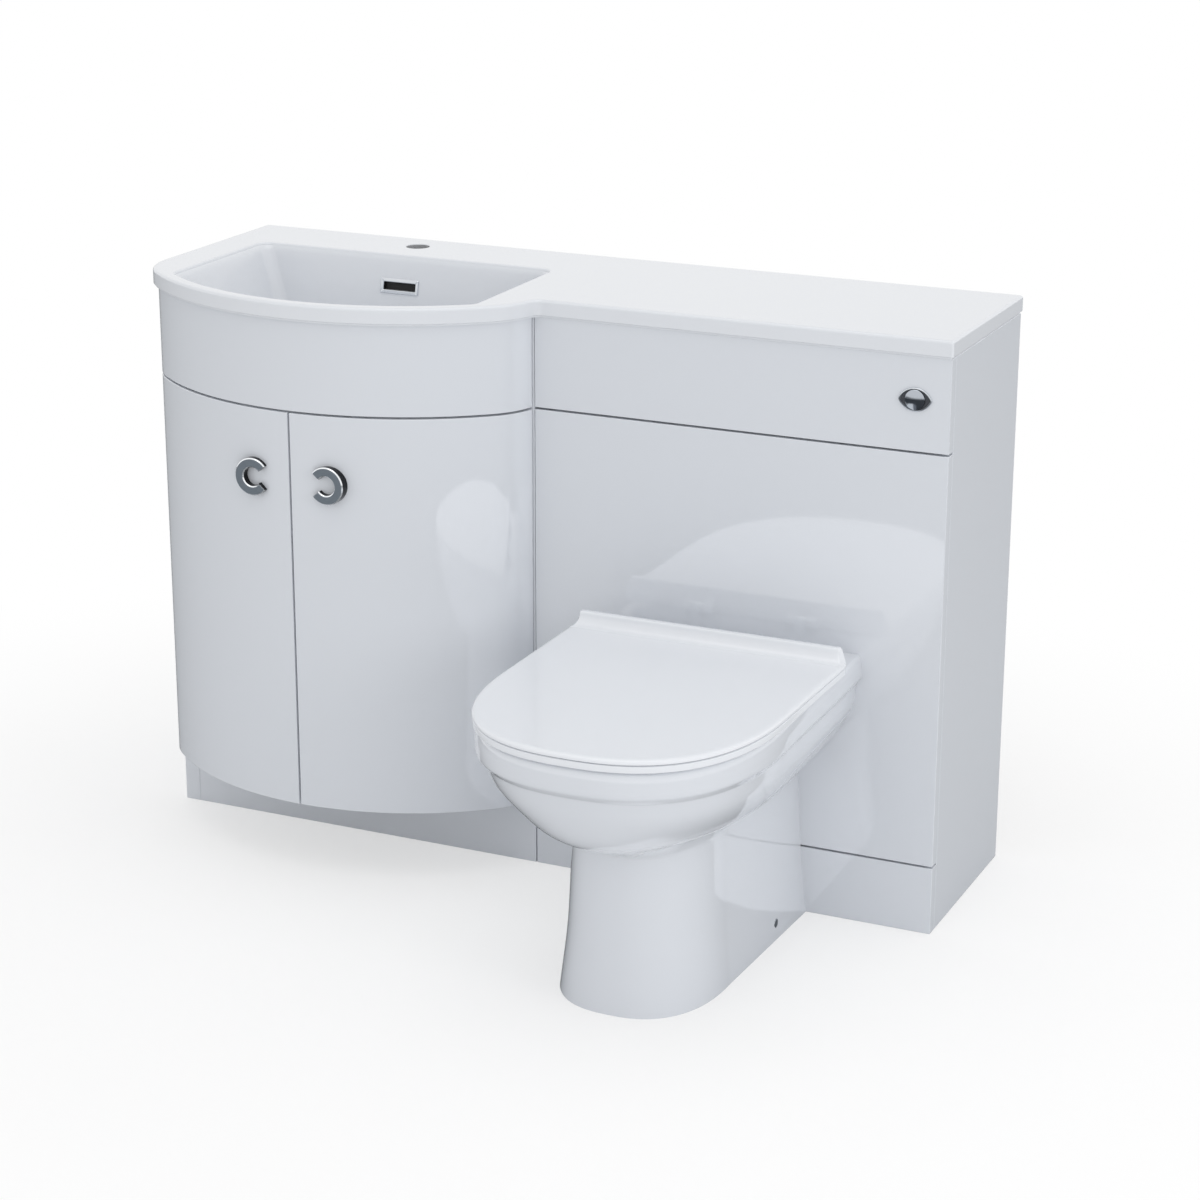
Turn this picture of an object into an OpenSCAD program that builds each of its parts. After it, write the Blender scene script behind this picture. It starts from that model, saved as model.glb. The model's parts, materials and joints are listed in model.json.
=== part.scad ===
// Toilet and basin combination unit: a bow-fronted basin cabinet beside a cabinet
// that hides the cistern, one worktop over both, and a back-to-wall pan.
// Lengths are in mm. x runs along the wall from the joint between the cabinets,
// y runs back to the wall from their front plane, and z runs up from the floor.

/* [Cabinets] */
// Width of the basin cabinet
basin_w = 596; // [560:1:640]
// Width of the toilet cabinet
wc_w = 600; // [560:1:700]
// Depth of both cabinets, from the front plane to the wall
cab_d = 303; // [300:1:340]
// Height of both cabinets under the worktop
cab_h = 811; // [800:1:860]
// Thickness of the carcass boards and of the fronts
board_t = 18; // [16:1:19]
// Thickness of the outer end panel beside the basin
end_panel_t = 25; // [18:1:28]
// Height of the plinth
plinth_h = 97; // [90:1:110]
// Gap between neighbouring fronts
reveal = 3; // [2:0.5:4]
// Height of the apron and of the panel above the toilet
apron_h = 128; // [120:1:135]
// Height of the back rails
rail_h = 80; // [60:1:95]
// Distance of the back rails from the wall
rail_setback = 15; // [10:1:20]

/* [Bow front] */
// Radius of the middle of the bow, at the face of the doors
bow_r = 391; // [380:1:410]
// Distance of the centres of the two end arcs behind the front plane
bow_end_in = 13.8; // [10:0.1:20]
// Radius of the two ends of the bow
bow_end_r = 100; // [90:1:110]
// Gap between the ends of the bow and the sides of the cabinet
bow_side_gap = 1; // [0.5:0.5:2]
// Gap between the ends of the doors and the front edges of the side panels
door_back_gap = 2.5; // [2:0.5:3]
// Distance from the face of the doors to the front edge of the base board
base_setback = 32; // [28:1:40]
// Distance from the face of the doors to the front edge of the shelf
shelf_setback = 62; // [58:1:80]
// Height of the shelf above the floor
shelf_z = 400; // [380:1:440]

/* [Worktop] */
// Thickness of the worktop
worktop_t = 25; // [22:1:30]
// Overhang over the curved doors
bow_lip = 7; // [6:0.5:9]
// Overhang over the front of the toilet cabinet
front_lip = 4; // [3:0.5:6]
// Overhang over the right side
right_lip = 2; // [1:0.5:4]
// Radius of the hollow corner where the bow meets the straight edge
corner_fillet = 14; // [10:1:18]
// Height of the step under the edge of the worktop
edge_step_h = 3; // [2:0.5:4]
// Depth of the step under the edge of the worktop
edge_step_d = 3; // [2:0.5:3]

/* [Bowl] */
// Width of the bowl at its rim
bowl_w = 480; // [440:1:500]
// Distance from the front plane to the back edge of the bowl
bowl_back_y = 184; // [175:1:195]
// Width of the flat land in front of the bowl
bowl_land = 20; // [18:1:30]
// Depth of the bowl
bowl_depth = 115; // [100:1:118]
// Thickness of the bowl
bowl_wall = 8; // [7:0.5:9]
// Radius of the corners of the bowl
bowl_corner_r = 18; // [12:1:24]
// How far the side walls of the bowl lean in
bowl_side_lean = 66; // [50:1:80]
// How far the front wall of the bowl leans in
bowl_front_lean = 92; // [91:1:100]
// How far the back wall of the bowl leans in
bowl_back_lean = 34; // [25:1:45]
// Diameter of the waste hole
waste_d = 45; // [40:1:50]
// Distance from the front plane to the waste hole
waste_y = 60; // [40:1:80]
// Diameter of the tap hole
tap_d = 35; // [32:1:36]
// Distance of the tap hole to the left of the middle of the bowl
tap_shift = 14.4; // [0:0.2:20]
// Distance from the front plane to the tap hole
tap_y = 251.8; // [246:0.2:256]

/* [Overflow] */
// Width of the overflow trim
overflow_w = 62; // [56:1:70]
// Height of the overflow trim
overflow_h = 22; // [20:1:24]
// Distance of the overflow trim to the left of the middle of the bowl
overflow_shift = 4; // [0:0.5:8]
// Width of the rim of the overflow trim
overflow_rim = 5; // [4:0.5:6]
// Depth of the top of the overflow trim under the rim of the bowl
overflow_drop = 34; // [30:1:38]

/* [Handles] */
// Outside diameter of the handles
handle_d = 54; // [46:1:56]
// Inside diameter of the handles
handle_hole_d = 27; // [22:1:28]
// Thickness of the handles
handle_t = 10; // [8:0.5:11]
// Angle of the gap in each ring
handle_gap = 78; // [60:1:90]
// Distance of each handle from the gap between the doors, along the bow
handle_run = 59; // [50:1:65]
// Distance of the handles from the top of the doors
handle_drop = 97; // [80:1:110]
// Width of the bevel on the handles
handle_bevel = 1.5; // [1:0.1:2]

/* [Door hinges] */
// Distance of the hinges from the top and bottom of the doors
hinge_inset = 80; // [60:1:80]
// Distance of the fixed pins from the sides of the basin cabinet
fixed_pin_in = 56; // [55:0.5:58]
// Distance of the fixed pins in front of the front plane
fixed_pin_out = 36; // [34:0.5:37]
// Diameter of the hinge pins
hinge_pin_d = 4; // [3:0.5:4]
// Distance of the door pins from the inside of the doors
door_pin_lift = 2; // [1.5:0.1:2]
// Angle of the door pins round the end of the bow
door_pin_angle = 74.6; // [74:0.1:75]

/* [Pan] */
// Height of the rim of the pan
pan_h = 391; // [380:1:410]
// Width of the rim of the pan
pan_w = 392; // [370:1:400]
// How far the pan stands in front of the cabinet
pan_reach = 545; // [520:1:560]
// Thickness of the foot of the pan
foot_wall = 14; // [12:1:16]
// Height of the outlet
outlet_z = 180; // [175:1:185]
// Outside diameter of the outlet
outlet_d = 102; // [98:1:110]
// Bore of the outlet
outlet_bore_d = 86; // [80:1:88]
// How far the outlet stands behind the front plane
outlet_reach = 60; // [50:1:80]
// Step from the shoulder of the outlet down to its end
outlet_step = 2; // [1:0.5:3]
// Room for a pan connector round the outlet
connector_room = 18; // [16:1:22]
// Distance of the flush inlet under the rim of the pan
inlet_drop = 56; // [52:1:60]
// Bore of the flush inlet
inlet_d = 60; // [58:1:64]
// Distance of the side fixing holes from the front plane
side_fixing_y = 101; // [90:1:110]
// Height of the side fixing holes
side_fixing_z = 23; // [20:1:28]

/* [Seat and lid] */
// Thickness of the seat
seat_t = 10; // [9:0.5:12]
// Thickness of the lid
lid_t = 7; // [6:0.5:9]
// How far the lid and seat stand over the rim of the pan
lid_over = 2; // [1:0.5:3]
// Height of the seat above the rim
seat_gap = 0.8; // [0.6:0.1:1.5]
// Height of the lid above the seat
lid_gap = 0.6; // [0.5:0.1:1]
// Distance of the back edge of the lid from the cabinet
lid_back = 80; // [76:1:90]
// Height of the raised strip at the back of the lid
strip_h = 19; // [14:1:20]
// Distance of the hinge axis from the cabinet
lid_axis_back = 67; // [66:0.5:70]
// Height of the hinge axis above the rim
lid_axis_up = 12; // [11.5:0.5:14]
// Diameter of the hinge pins of the lid
lid_pin_d = 8; // [6:0.5:9]
// Distance of the two hinges from the middle of the pan
lid_hinge_x = 78; // [70:1:90]

/* [Flush button] */
// Distance of the button from the right side of the cabinet
button_in = 48.4; // [46:0.2:60]
// Distance of the button under the worktop
button_drop = 58; // [50:1:66]
// Diameter of the button
button_d = 27.5; // [25:0.5:27.5]
// Travel of the button
button_travel = 5; // [4:0.5:6]
// Height of the eye-shaped bezel
bezel_h = 32.5; // [32:0.5:34]
// Width of the eye-shaped bezel
bezel_w = 47; // [42:0.5:48]
// Thickness of the bezel
bezel_t = 2.5; // [2:0.5:3]

/* [Cistern] */
// Width of the cistern
tank_w = 380; // [340:1:400]
// Depth of the cistern
tank_d = 160; // [150:1:165]
// Distance from the top of the cistern to the worktop
tank_room = 71; // [60:1:90]
// Thickness of the walls of the cistern
tank_wall = 4; // [3:0.5:5]
// Distance from the bend of the flush pipe up to the cistern
flush_drop = 45; // [40:1:60]
// Radius of the bend in the flush pipe
flush_bend_r = 60; // [56:1:70]
// Distance of the front of the cistern from the front plane
tank_y = 110; // [105:1:115]
// Diameter of the flush pipe
flush_d = 50; // [46:1:50]
// How far the float rises
float_travel = 90; // [70:1:100]
// Lift of the flush plunger
plunger_lift = 15; // [10:1:20]
// Distance from the body of the flush valve to the top of the cistern
valve_room = 106; // [100:1:120]

/* [Hidden] */
$fn = 96;

// Colours, as red, green and blue
board_white = [0.81, 0.83, 0.85];
top_white = [0.91, 0.92, 0.94];
ceramic_white = [0.88, 0.89, 0.91];
seat_white = [0.90, 0.91, 0.93];
dark_chrome = [0.42, 0.46, 0.50];
chrome = [0.75, 0.77, 0.80];
zinc = [0.66, 0.67, 0.68];
cistern_white = [0.86, 0.87, 0.88];
valve_grey = [0.55, 0.58, 0.62];
rubber_black = [0.10, 0.10, 0.11];

// Gaps between pieces
skin = 0.3;
run_fit = 0.05;
hole_fit = 0.25;
slice = 0.01;
far = 2000;

// Heights that the fronts share
door_z0 = plinth_h + reveal;
apron_z0 = cab_h - apron_h;
door_z1 = apron_z0 - reveal;
handle_z = door_z1 - handle_drop;
top_z = cab_h + worktop_t;

// The whole unit stands with its footprint centred on the origin
total_d = cab_d + pan_reach + lid_over;
face_y = total_d / 2 - cab_d;

// The bow: a wide arc that runs into two tight arcs, square to the side planes
basin_cx = -basin_w / 2;
bow_half_w = basin_w / 2 - bow_side_gap;
bow_end_x = bow_half_w - bow_end_r;
fillet_root = 1;
fillet_bite = 0.02;
bow_end_y = bow_end_in;
bow_cy = bow_end_y + sqrt(pow(bow_r - bow_end_r, 2) - pow(bow_end_x, 2));
worktop_left = basin_cx - bow_half_w - bow_lip;
worktop_right = wc_w + right_lip;

// Inside faces of the carcasses
basin_in_l = -basin_w + end_panel_t;
basin_in_r = -board_t;
wc_in_l = board_t;
wc_in_r = wc_w - board_t;
rail_y = cab_d - rail_setback - board_t;

// Bowl
overflow_z1 = top_z - overflow_drop;
overflow_z0 = overflow_z1 - overflow_h;
bowl_floor_z = top_z - bowl_depth;
duct_gap = 6;
duct_wall = 4;
duct_w = 24;
duct_depth = 8;
duct_y0 = bowl_back_y + bowl_wall - 2;

// Handles and hinges
handle_angle = handle_run / bow_r * 180 / PI;
fixed_pin_x = basin_w / 2 - fixed_pin_in;
screw_d = 4;
screw_head_d = 8;
screw_head_t = 2.2;
screw_bite = 6;
handle_screw_r = (handle_d + handle_hole_d) / 4;
hinge_zs = [door_z0 + hinge_inset, door_z1 - hinge_inset];
link_t = 5;
ear_t = 3;
ear_gap = 0.4;
link_half_w = 3.4;
pocket_r = 7;
door_pin_r = bow_end_r - board_t - door_pin_lift;

// Pan, seat and lid
pan_x = wc_w / 2;
pan_power = 2.45;
shoulder = 0.55;
seat_z = pan_h + seat_gap;
lid_z = seat_z + seat_t + lid_gap;
lid_half_w = pan_w / 2 + lid_over + 1;
axis_y = -lid_axis_back;
axis_z = pan_h + lid_axis_up;
knuckle_r = 8;
knuckle_w = 14;
knuckle_gap = 0.5;
deck_bolt_d = 8;
inlet_depth = 70;
inlet_z = pan_h - inlet_drop;
shoulder_d = outlet_d + 2 * outlet_step;
shoulder_reach = board_t + 0.5;

// Flush button
button_x = wc_w - button_in;
button_z = cab_h - button_drop;
barrel_r = button_d / 2 + 1.9;
barrel_l = 38;
button_l = 14;
button_bore_r = button_d / 2 + 0.1;
bezel_r = (pow(bezel_w / 2, 2) + pow(bezel_h / 2, 2)) / bezel_h;

// Cistern
tank_z = inlet_z + flush_bend_r + flush_drop;
tank_h = cab_h - tank_room - tank_z;
tank_cx = pan_x;
valve_x = tank_cx;
valve_y = tank_y + tank_d / 2;
fill_x = tank_cx - tank_w / 2 + 45;
float_x = fill_x;
flush_hole_d = inlet_d + 12;
outlet_hole_d = outlet_d + 26;
hose_d = 6;
hose_run_x = 60;
hose_run_z = tank_z + tank_h - 3;

module at_face() {
    translate([0, face_y, 0]) children();
}

// A board given by its low corner and its high corner
module board(low, high) {
    translate(low) cube(high - low);
}

// A round bar from one point to another along x, y or z
module bar_x(d, x0, x1, y, z) {
    translate([x0, y, z]) rotate([0, 90, 0]) cylinder(d = d, h = x1 - x0);
}

module bar_y(d, y0, y1, x, z) {
    translate([x, y0, z]) rotate([-90, 0, 0]) cylinder(d = d, h = y1 - y0);
}

// Plan of the bow and the cabinet behind it, grown outwards from the face of the doors
module bow_plan(grow) {
    wedge = 3;
    intersection() {
        translate([basin_cx, bow_cy]) circle(r = bow_r + grow, $fn = 360);
        polygon([
            [basin_cx, bow_cy],
            [basin_cx - wedge * bow_end_x, bow_cy - wedge * (bow_cy - bow_end_y)],
            [basin_cx + wedge * bow_end_x, bow_cy - wedge * (bow_cy - bow_end_y)]
        ]);
    }
    for (side = [-1, 1])
        translate([basin_cx + side * bow_end_x, bow_end_y]) circle(r = bow_end_r + grow);
    translate([basin_cx - bow_half_w - grow, bow_end_y])
        square([2 * (bow_half_w + grow), cab_d - bow_end_y]);
}

// A curved front of one board's thickness between two heights
module bow_shell(outer, inner, z0, z1) {
    translate([0, 0, z0]) linear_extrude(z1 - z0) difference() {
        bow_plan(outer);
        bow_plan(inner);
        translate([-far, -door_back_gap]) square([2 * far, far]);
    }
}

// Plan of the worktop, pulled in by a step
module worktop_plan(step) {
    front_y = -front_lip + step;
    end_r = bow_end_r + bow_lip - step;
    fillet_r = corner_fillet + step;
    end_x = basin_cx + bow_end_x;
    fillet_y = front_y - fillet_r;
    fillet_x = end_x + sqrt(pow(end_r + fillet_r, 2) - pow(fillet_y - bow_end_y, 2));
    inside = (end_r - fillet_root) / (end_r + fillet_r);
    bow_plan(bow_lip - step);
    translate([basin_cx, front_y]) square([worktop_right - step - basin_cx, cab_d - front_y]);
    difference() {
        polygon([
            [end_x + inside * (fillet_x - end_x), bow_end_y + inside * (fillet_y - bow_end_y)],
            [fillet_x, fillet_y],
            [fillet_x, front_y + fillet_root],
            [end_x, front_y + fillet_root]
        ]);
        // Slightly large, so that the outlines cross at a clear angle
        translate([fillet_x, fillet_y]) circle(r = fillet_r + fillet_bite);
    }
}

// Stations of the bowl from rim to floor: share of the depth and share of the lean
bowl_stations = [[0.03, 0.05], [0.30, 0.24], [0.62, 0.47], [0.86, 0.66], [0.96, 0.82], [1, 1]];

module bowl_slice(depth_share, lean_share, wall) {
    half = bowl_w / 2 - lean_share * bowl_side_lean + wall;
    front_r = bow_r + bow_lip - bowl_land - lean_share * bowl_front_lean + wall;
    back = bowl_back_y - lean_share * bowl_back_lean + wall;
    translate([0, 0, top_z - depth_share * (bowl_depth + wall)])
        linear_extrude(slice)
            offset(r = bowl_corner_r) offset(delta = -bowl_corner_r) intersection() {
                translate([basin_cx, bow_cy]) circle(r = front_r, $fn = 160);
                translate([basin_cx - half, -far]) square([2 * half, far + back]);
            }
}

module bowl_form(wall) {
    hull() for (s = bowl_stations) bowl_slice(s[0], s[1], wall);
}

module basin_worktop() {
    duct_z0 = bowl_floor_z - bowl_wall - duct_gap;
    slot_x = basin_cx - overflow_shift;
    slot_w = overflow_w - 2 * overflow_rim;
    slot_z0 = overflow_z0 + overflow_rim;
    slot_h = overflow_h - 2 * overflow_rim;
    color(top_white) at_face() difference() {
        union() {
            translate([0, 0, cab_h + edge_step_h])
                linear_extrude(worktop_t - edge_step_h) worktop_plan(0);
            translate([0, 0, cab_h]) linear_extrude(edge_step_h) worktop_plan(edge_step_d);
            intersection() {
                bowl_form(bowl_wall);
                translate([-far, -far, 0]) cube([2 * far, 2 * far, top_z - 1]);
            }
            // Overflow duct behind and under the bowl, and the boss of the waste
            board(
                [basin_cx - duct_w, duct_y0 - 20, bowl_floor_z - bowl_wall],
                [basin_cx + duct_w, duct_y0 + duct_depth + duct_wall, cab_h + 1]
            );
            board(
                [basin_cx - duct_w / 2 - duct_wall, waste_y, duct_z0 - duct_wall],
                [
                    basin_cx + duct_w / 2 + duct_wall,
                    duct_y0 + duct_depth + duct_wall,
                    bowl_floor_z - bowl_wall + 1
                ]
            );
            translate([basin_cx, waste_y, duct_z0 - duct_wall])
                cylinder(d = waste_d + 24, h = bowl_wall + duct_gap + duct_wall);
        }
        bowl_form(0);
        hull() {
            bowl_slice(0, 0, 0);
            bowl_slice(bowl_stations[0][0], bowl_stations[0][1], 0);
            translate([0, 0, 1]) bowl_slice(0, 0, 0);
        }
        board(
            [basin_cx - duct_w / 2, duct_y0, duct_z0],
            [basin_cx + duct_w / 2, duct_y0 + duct_depth, slot_z0 + slot_h - 1]
        );
        board(
            [basin_cx - duct_w / 2, waste_y, duct_z0],
            [basin_cx + duct_w / 2, duct_y0 + duct_depth, duct_z0 + duct_gap]
        );
        board(
            [slot_x - slot_w / 2, bowl_back_y - bowl_back_lean, slot_z0],
            [slot_x + slot_w / 2, duct_y0 + 2, slot_z0 + slot_h]
        );
        translate([basin_cx, waste_y, duct_z0 - duct_wall - 1])
            cylinder(d = waste_d, h = bowl_depth);
        translate([basin_cx - tap_shift, tap_y, cab_h - 1]) cylinder(d = tap_d, h = worktop_t + 2);
    }
}

// Chrome frame on the back wall of the bowl, with a short sleeve into the slot
module overflow_trim() {
    slot_w = overflow_w - 2 * overflow_rim;
    slot_h = overflow_h - 2 * overflow_rim;
    share = (top_z - (overflow_z0 + overflow_z1) / 2) / bowl_depth;
    span = bowl_stations[1] - bowl_stations[0];
    lean_at = bowl_stations[0][1] + (share - bowl_stations[0][0]) * span[1] / span[0];
    wall_y = bowl_back_y - bowl_back_lean * lean_at;
    tilt = atan(bowl_back_lean * span[1] / (bowl_depth * span[0]));
    color(chrome) at_face()
        translate([basin_cx - overflow_shift, wall_y - 0.1, (overflow_z0 + overflow_z1) / 2])
            rotate([-tilt, 0, 0]) difference() {
                union() {
                    board(
                        [-overflow_w / 2, -2, -overflow_h / 2],
                        [overflow_w / 2, 0, overflow_h / 2]
                    );
                    board(
                        [-slot_w / 2 + 0.4, -2, -slot_h / 2 + 1],
                        [slot_w / 2 - 0.4, 5, slot_h / 2 - 1]
                    );
                }
                board([-slot_w / 2 + 1.6, -3, -slot_h / 2 + 2], [slot_w / 2 - 1.6, 6, slot_h / 2 - 2]);
            }
}

module left_end_panel() {
    color(board_white) at_face() board([-basin_w, 0, 0], [basin_in_l, cab_d, cab_h]);
}

module basin_right_panel() {
    color(board_white) at_face() difference() {
        board([-board_t, 0, 0], [0, cab_d, cab_h]);
        board([-board_t - 1, -1, -1], [1, board_t, plinth_h]);
    }
}

module basin_base() {
    color(board_white) at_face() translate([0, 0, plinth_h]) linear_extrude(board_t)
        intersection() {
            union() {
                bow_plan(-base_setback);
                translate([basin_in_l, bow_end_y + 10])
                    square([basin_in_r - basin_in_l, cab_d]);
            }
            translate([basin_in_l, -far])
                square([basin_in_r - basin_in_l, far + cab_d - rail_setback]);
        }
}

module basin_shelf() {
    fit = 1;
    color(board_white) at_face() translate([0, 0, shelf_z]) linear_extrude(board_t)
        intersection() {
            union() {
                bow_plan(-shelf_setback);
                translate([basin_in_l, bow_end_y + 60])
                    square([basin_in_r - basin_in_l, cab_d]);
            }
            translate([basin_in_l + fit, -far])
                square([basin_in_r - basin_in_l - 2 * fit, far + rail_y]);
        }
}

module shelf_pins() {
    pin_d = 5;
    pin_l = 10;
    front_in = 90;
    back_in = 30;
    color(chrome) at_face()
        for (y = [bow_end_y + front_in, rail_y - back_in]) {
            bar_x(pin_d, basin_in_l, basin_in_l + pin_l, y, shelf_z - pin_d / 2);
            bar_x(pin_d, basin_in_r - pin_l, basin_in_r, y, shelf_z - pin_d / 2);
        }
}

module basin_back_rails() {
    base_top = plinth_h + board_t;
    color(board_white) at_face() {
        board([basin_in_l, rail_y, base_top], [basin_in_r, rail_y + board_t, base_top + rail_h]);
        board([basin_in_l, rail_y, cab_h - rail_h], [basin_in_r, rail_y + board_t, cab_h]);
    }
}

// Curved rail behind the joint between the doors and the apron
module basin_front_rail() {
    rail_w = 25;
    color(board_white) at_face() translate([0, 0, apron_z0 + 1]) linear_extrude(board_t)
        difference() {
            intersection() {
                bow_plan(-board_t);
                translate([basin_in_l, -far])
                    square([basin_in_r - basin_in_l, far + 2 * board_t]);
            }
            bow_plan(-board_t - rail_w);
        }
}

module basin_plinth() {
    color(board_white) at_face() board([basin_in_l, 0, 0], [-reveal / 4, board_t, plinth_h]);
}

module curved_apron() {
    color(board_white) at_face() bow_shell(0, -board_t, apron_z0, cab_h);
}

// Places its children on the face of a door: z points out, x points to the right
module on_door(side) {
    translate([basin_cx, bow_cy, handle_z]) rotate([0, 0, side * handle_angle])
        translate([0, -bow_r, 0]) rotate([90, 0, 0]) children();
}

// Places its children in front of a door, square to the wall: z points out of the door
module before_door(side) {
    translate([
        basin_cx + side * bow_r * sin(handle_angle),
        bow_cy - bow_r * cos(handle_angle),
        handle_z
    ]) rotate([90, 0, 0]) children();
}

module handle_screw_places() {
    for (end = [-1, 1]) translate([0, end * handle_screw_r, 0]) children();
}

// Plan positions of the two pins of the hinge on one side
function fixed_pin(side) = [basin_cx + side * fixed_pin_x, -fixed_pin_out];
function door_pin(side) = [
    basin_cx + side * (bow_end_x + door_pin_r * sin(door_pin_angle)),
    bow_end_y - door_pin_r * cos(door_pin_angle)
];

module door(side) {
    split_x = side < 0 ? -far : reveal / 2;
    pin = door_pin(side);
    color(board_white) at_face() difference() {
        intersection() {
            bow_shell(0, -board_t, door_z0, door_z1);
            translate([basin_cx + split_x, -far, 0])
                cube([far - reveal / 2, 2 * far, far]);
        }
        on_door(side) handle_screw_places() translate([0, 0, -2 * board_t])
            cylinder(d = screw_d + 2 * hole_fit, h = 3 * board_t);
        for (z = hinge_zs)
            translate([pin[0], pin[1], z - link_t / 2 - ear_t - 2 * ear_gap])
                cylinder(r = pocket_r, h = link_t + 2 * ear_t + 4 * ear_gap);
    }
}

module left_door() {
    door(-1);
}

module right_door() {
    door(1);
}

// A ring with a gap towards the other door. Its face is square to the wall and its back
// follows the door.
module door_handle(side) {
    outer = handle_d / 2;
    inner = handle_hole_d / 2;
    root = -6;
    profile = [
        [inner, root], [outer, root], [outer, handle_t - handle_bevel],
        [outer - handle_bevel, handle_t], [inner + handle_bevel, handle_t],
        [inner, handle_t - handle_bevel]
    ];
    turn = side < 0 ? 0 : 180;
    color(dark_chrome) at_face() difference() {
        before_door(side) rotate([0, 0, turn + handle_gap / 2])
            rotate_extrude(angle = 360 - handle_gap) polygon(profile);
        on_door(side) handle_screw_places() translate([0, 0, -4])
            cylinder(d = screw_d + 2 * run_fit, h = screw_bite + 4.2);
        translate([basin_cx, bow_cy, 0]) cylinder(r = bow_r, h = far, $fn = 360);
    }
}

module left_handle() {
    door_handle(-1);
}

module right_handle() {
    door_handle(1);
}

module door_handle_screws(side) {
    head_z = -board_t - screw_head_t;
    color(zinc) at_face() on_door(side) handle_screw_places() translate([0, 0, head_z]) {
        cylinder(d = screw_head_d, h = screw_head_t);
        cylinder(d = screw_d, h = screw_head_t + board_t + screw_bite);
    }
}

module left_handle_screws() {
    door_handle_screws(-1);
}

module right_handle_screws() {
    door_handle_screws(1);
}

// A flat bar with round ends between two plan points
module flat_bar(p, q, half_w) {
    run = q - p;
    across = [-run[1], run[0]] / norm(run) * half_w;
    translate(p) circle(r = half_w);
    translate(q) circle(r = half_w);
    polygon([p + across, p - across, q - across, q + across]);
}

// Cranked arms on the side panel that hold the fixed pins
module hinge_arms(side) {
    pin = fixed_pin(side);
    wall_x = side < 0 ? basin_in_l : basin_in_r;
    plate_t = 3;
    plate_h = 50;
    root = [wall_x - side * 9, 26];
    ear_z = link_t / 2 + ear_gap;
    color(zinc) at_face() for (z = hinge_zs) translate([0, 0, z]) {
        for (low = [ear_z, -ear_z - ear_t])
            translate([0, 0, low]) linear_extrude(ear_t) flat_bar(root, pin, 6);
        translate([pin[0], pin[1], -ear_z - ear_t - 1])
            cylinder(d = hinge_pin_d, h = 2 * (ear_z + ear_t + 1));
        board(
            [min(wall_x, wall_x - side * plate_t), 16, -plate_h / 2],
            [max(wall_x, wall_x - side * plate_t), 66, plate_h / 2]
        );
        board(
            [min(wall_x, wall_x - side * 15), 20, -ear_z - ear_t],
            [max(wall_x, wall_x - side * 15), 60, ear_z + ear_t]
        );
    }
}

module left_hinge_arms() {
    hinge_arms(-1);
}

module right_hinge_arms() {
    hinge_arms(1);
}

// Links between the fixed pins and the door pins
module hinge_links(side) {
    from = fixed_pin(side);
    to = door_pin(side);
    color(zinc) at_face() for (z = hinge_zs)
        translate([0, 0, z - link_t / 2]) linear_extrude(link_t) difference() {
            flat_bar(from, to, link_half_w);
            for (p = [from, to]) translate(p) circle(d = hinge_pin_d + 2 * run_fit);
        }
}

module left_hinge_links() {
    hinge_links(-1);
}

module right_hinge_links() {
    hinge_links(1);
}

// Plates on the inside of the doors that hold the door pins
module hinge_plates(side) {
    pin = door_pin(side);
    ear_z = link_t / 2 + ear_gap;
    root_angle = 50;
    root_r = bow_end_r - board_t - 4;
    root = [
        basin_cx + side * (bow_end_x + root_r * sin(root_angle)),
        bow_end_y - root_r * cos(root_angle)
    ];
    color(zinc) at_face() for (z = hinge_zs) translate([0, 0, z]) {
        for (low = [ear_z, -ear_z - ear_t])
            translate([0, 0, low]) linear_extrude(ear_t) difference() {
                flat_bar(root, pin, 4.5);
                difference() {
                    circle(r = far);
                    bow_plan(-board_t);
                    translate(pin) circle(r = 4.5);
                }
            }
        translate([pin[0], pin[1], -ear_z - ear_t]) cylinder(d = hinge_pin_d, h = 2 * (ear_z + ear_t));
        translate([0, 0, -22]) linear_extrude(44) intersection() {
            difference() {
                bow_plan(-board_t);
                bow_plan(-board_t - 3);
            }
            translate(root) circle(r = 15);
        }
    }
}

module left_hinge_plates() {
    hinge_plates(-1);
}

module right_hinge_plates() {
    hinge_plates(1);
}

module wc_left_panel() {
    color(board_white) at_face() board([0, board_t, 0], [board_t, cab_d, cab_h]);
}

module wc_right_panel() {
    color(board_white) at_face() board([wc_in_r, board_t, 0], [wc_w, cab_d, cab_h]);
}

module wc_plinth() {
    color(board_white) at_face() board([reveal / 4, 0, 0], [wc_w, board_t, plinth_h]);
}

module wc_upper_panel() {
    color(board_white) at_face() difference() {
        board([reveal / 4, 0, apron_z0], [wc_w, board_t, cab_h]);
        bar_y(2 * barrel_r + 2 * hole_fit, -1, board_t + 1, button_x, button_z);
    }
}

module wc_main_panel() {
    color(board_white) at_face() difference() {
        board([reveal / 4, 0, door_z0], [wc_w, board_t, door_z1]);
        bar_y(outlet_hole_d, -1, board_t + 1, pan_x, outlet_z);
        bar_y(flush_hole_d, -1, board_t + 1, pan_x, inlet_z);
    }
}

// Battens behind the joints between the fronts of the toilet cabinet
module wc_front_battens() {
    batten_h = 40;
    color(board_white) at_face() difference() {
        for (z = [plinth_h + reveal / 2, apron_z0 - reveal / 2])
            board([wc_in_l, board_t, z - batten_h / 2], [wc_in_r, 2 * board_t, z + batten_h / 2]);
        bar_y(outlet_d + 2 * connector_room, 0, 3 * board_t, pan_x, outlet_z);
    }
}

module wc_back_rails() {
    foot_gap = 20;
    top_rail_h = 60;
    color(board_white) at_face() {
        board([wc_in_l, rail_y, foot_gap], [wc_in_r, rail_y + board_t, foot_gap + rail_h]);
        board([wc_in_l, rail_y, cab_h - top_rail_h], [wc_in_r, rail_y + board_t, cab_h]);
    }
}

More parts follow.
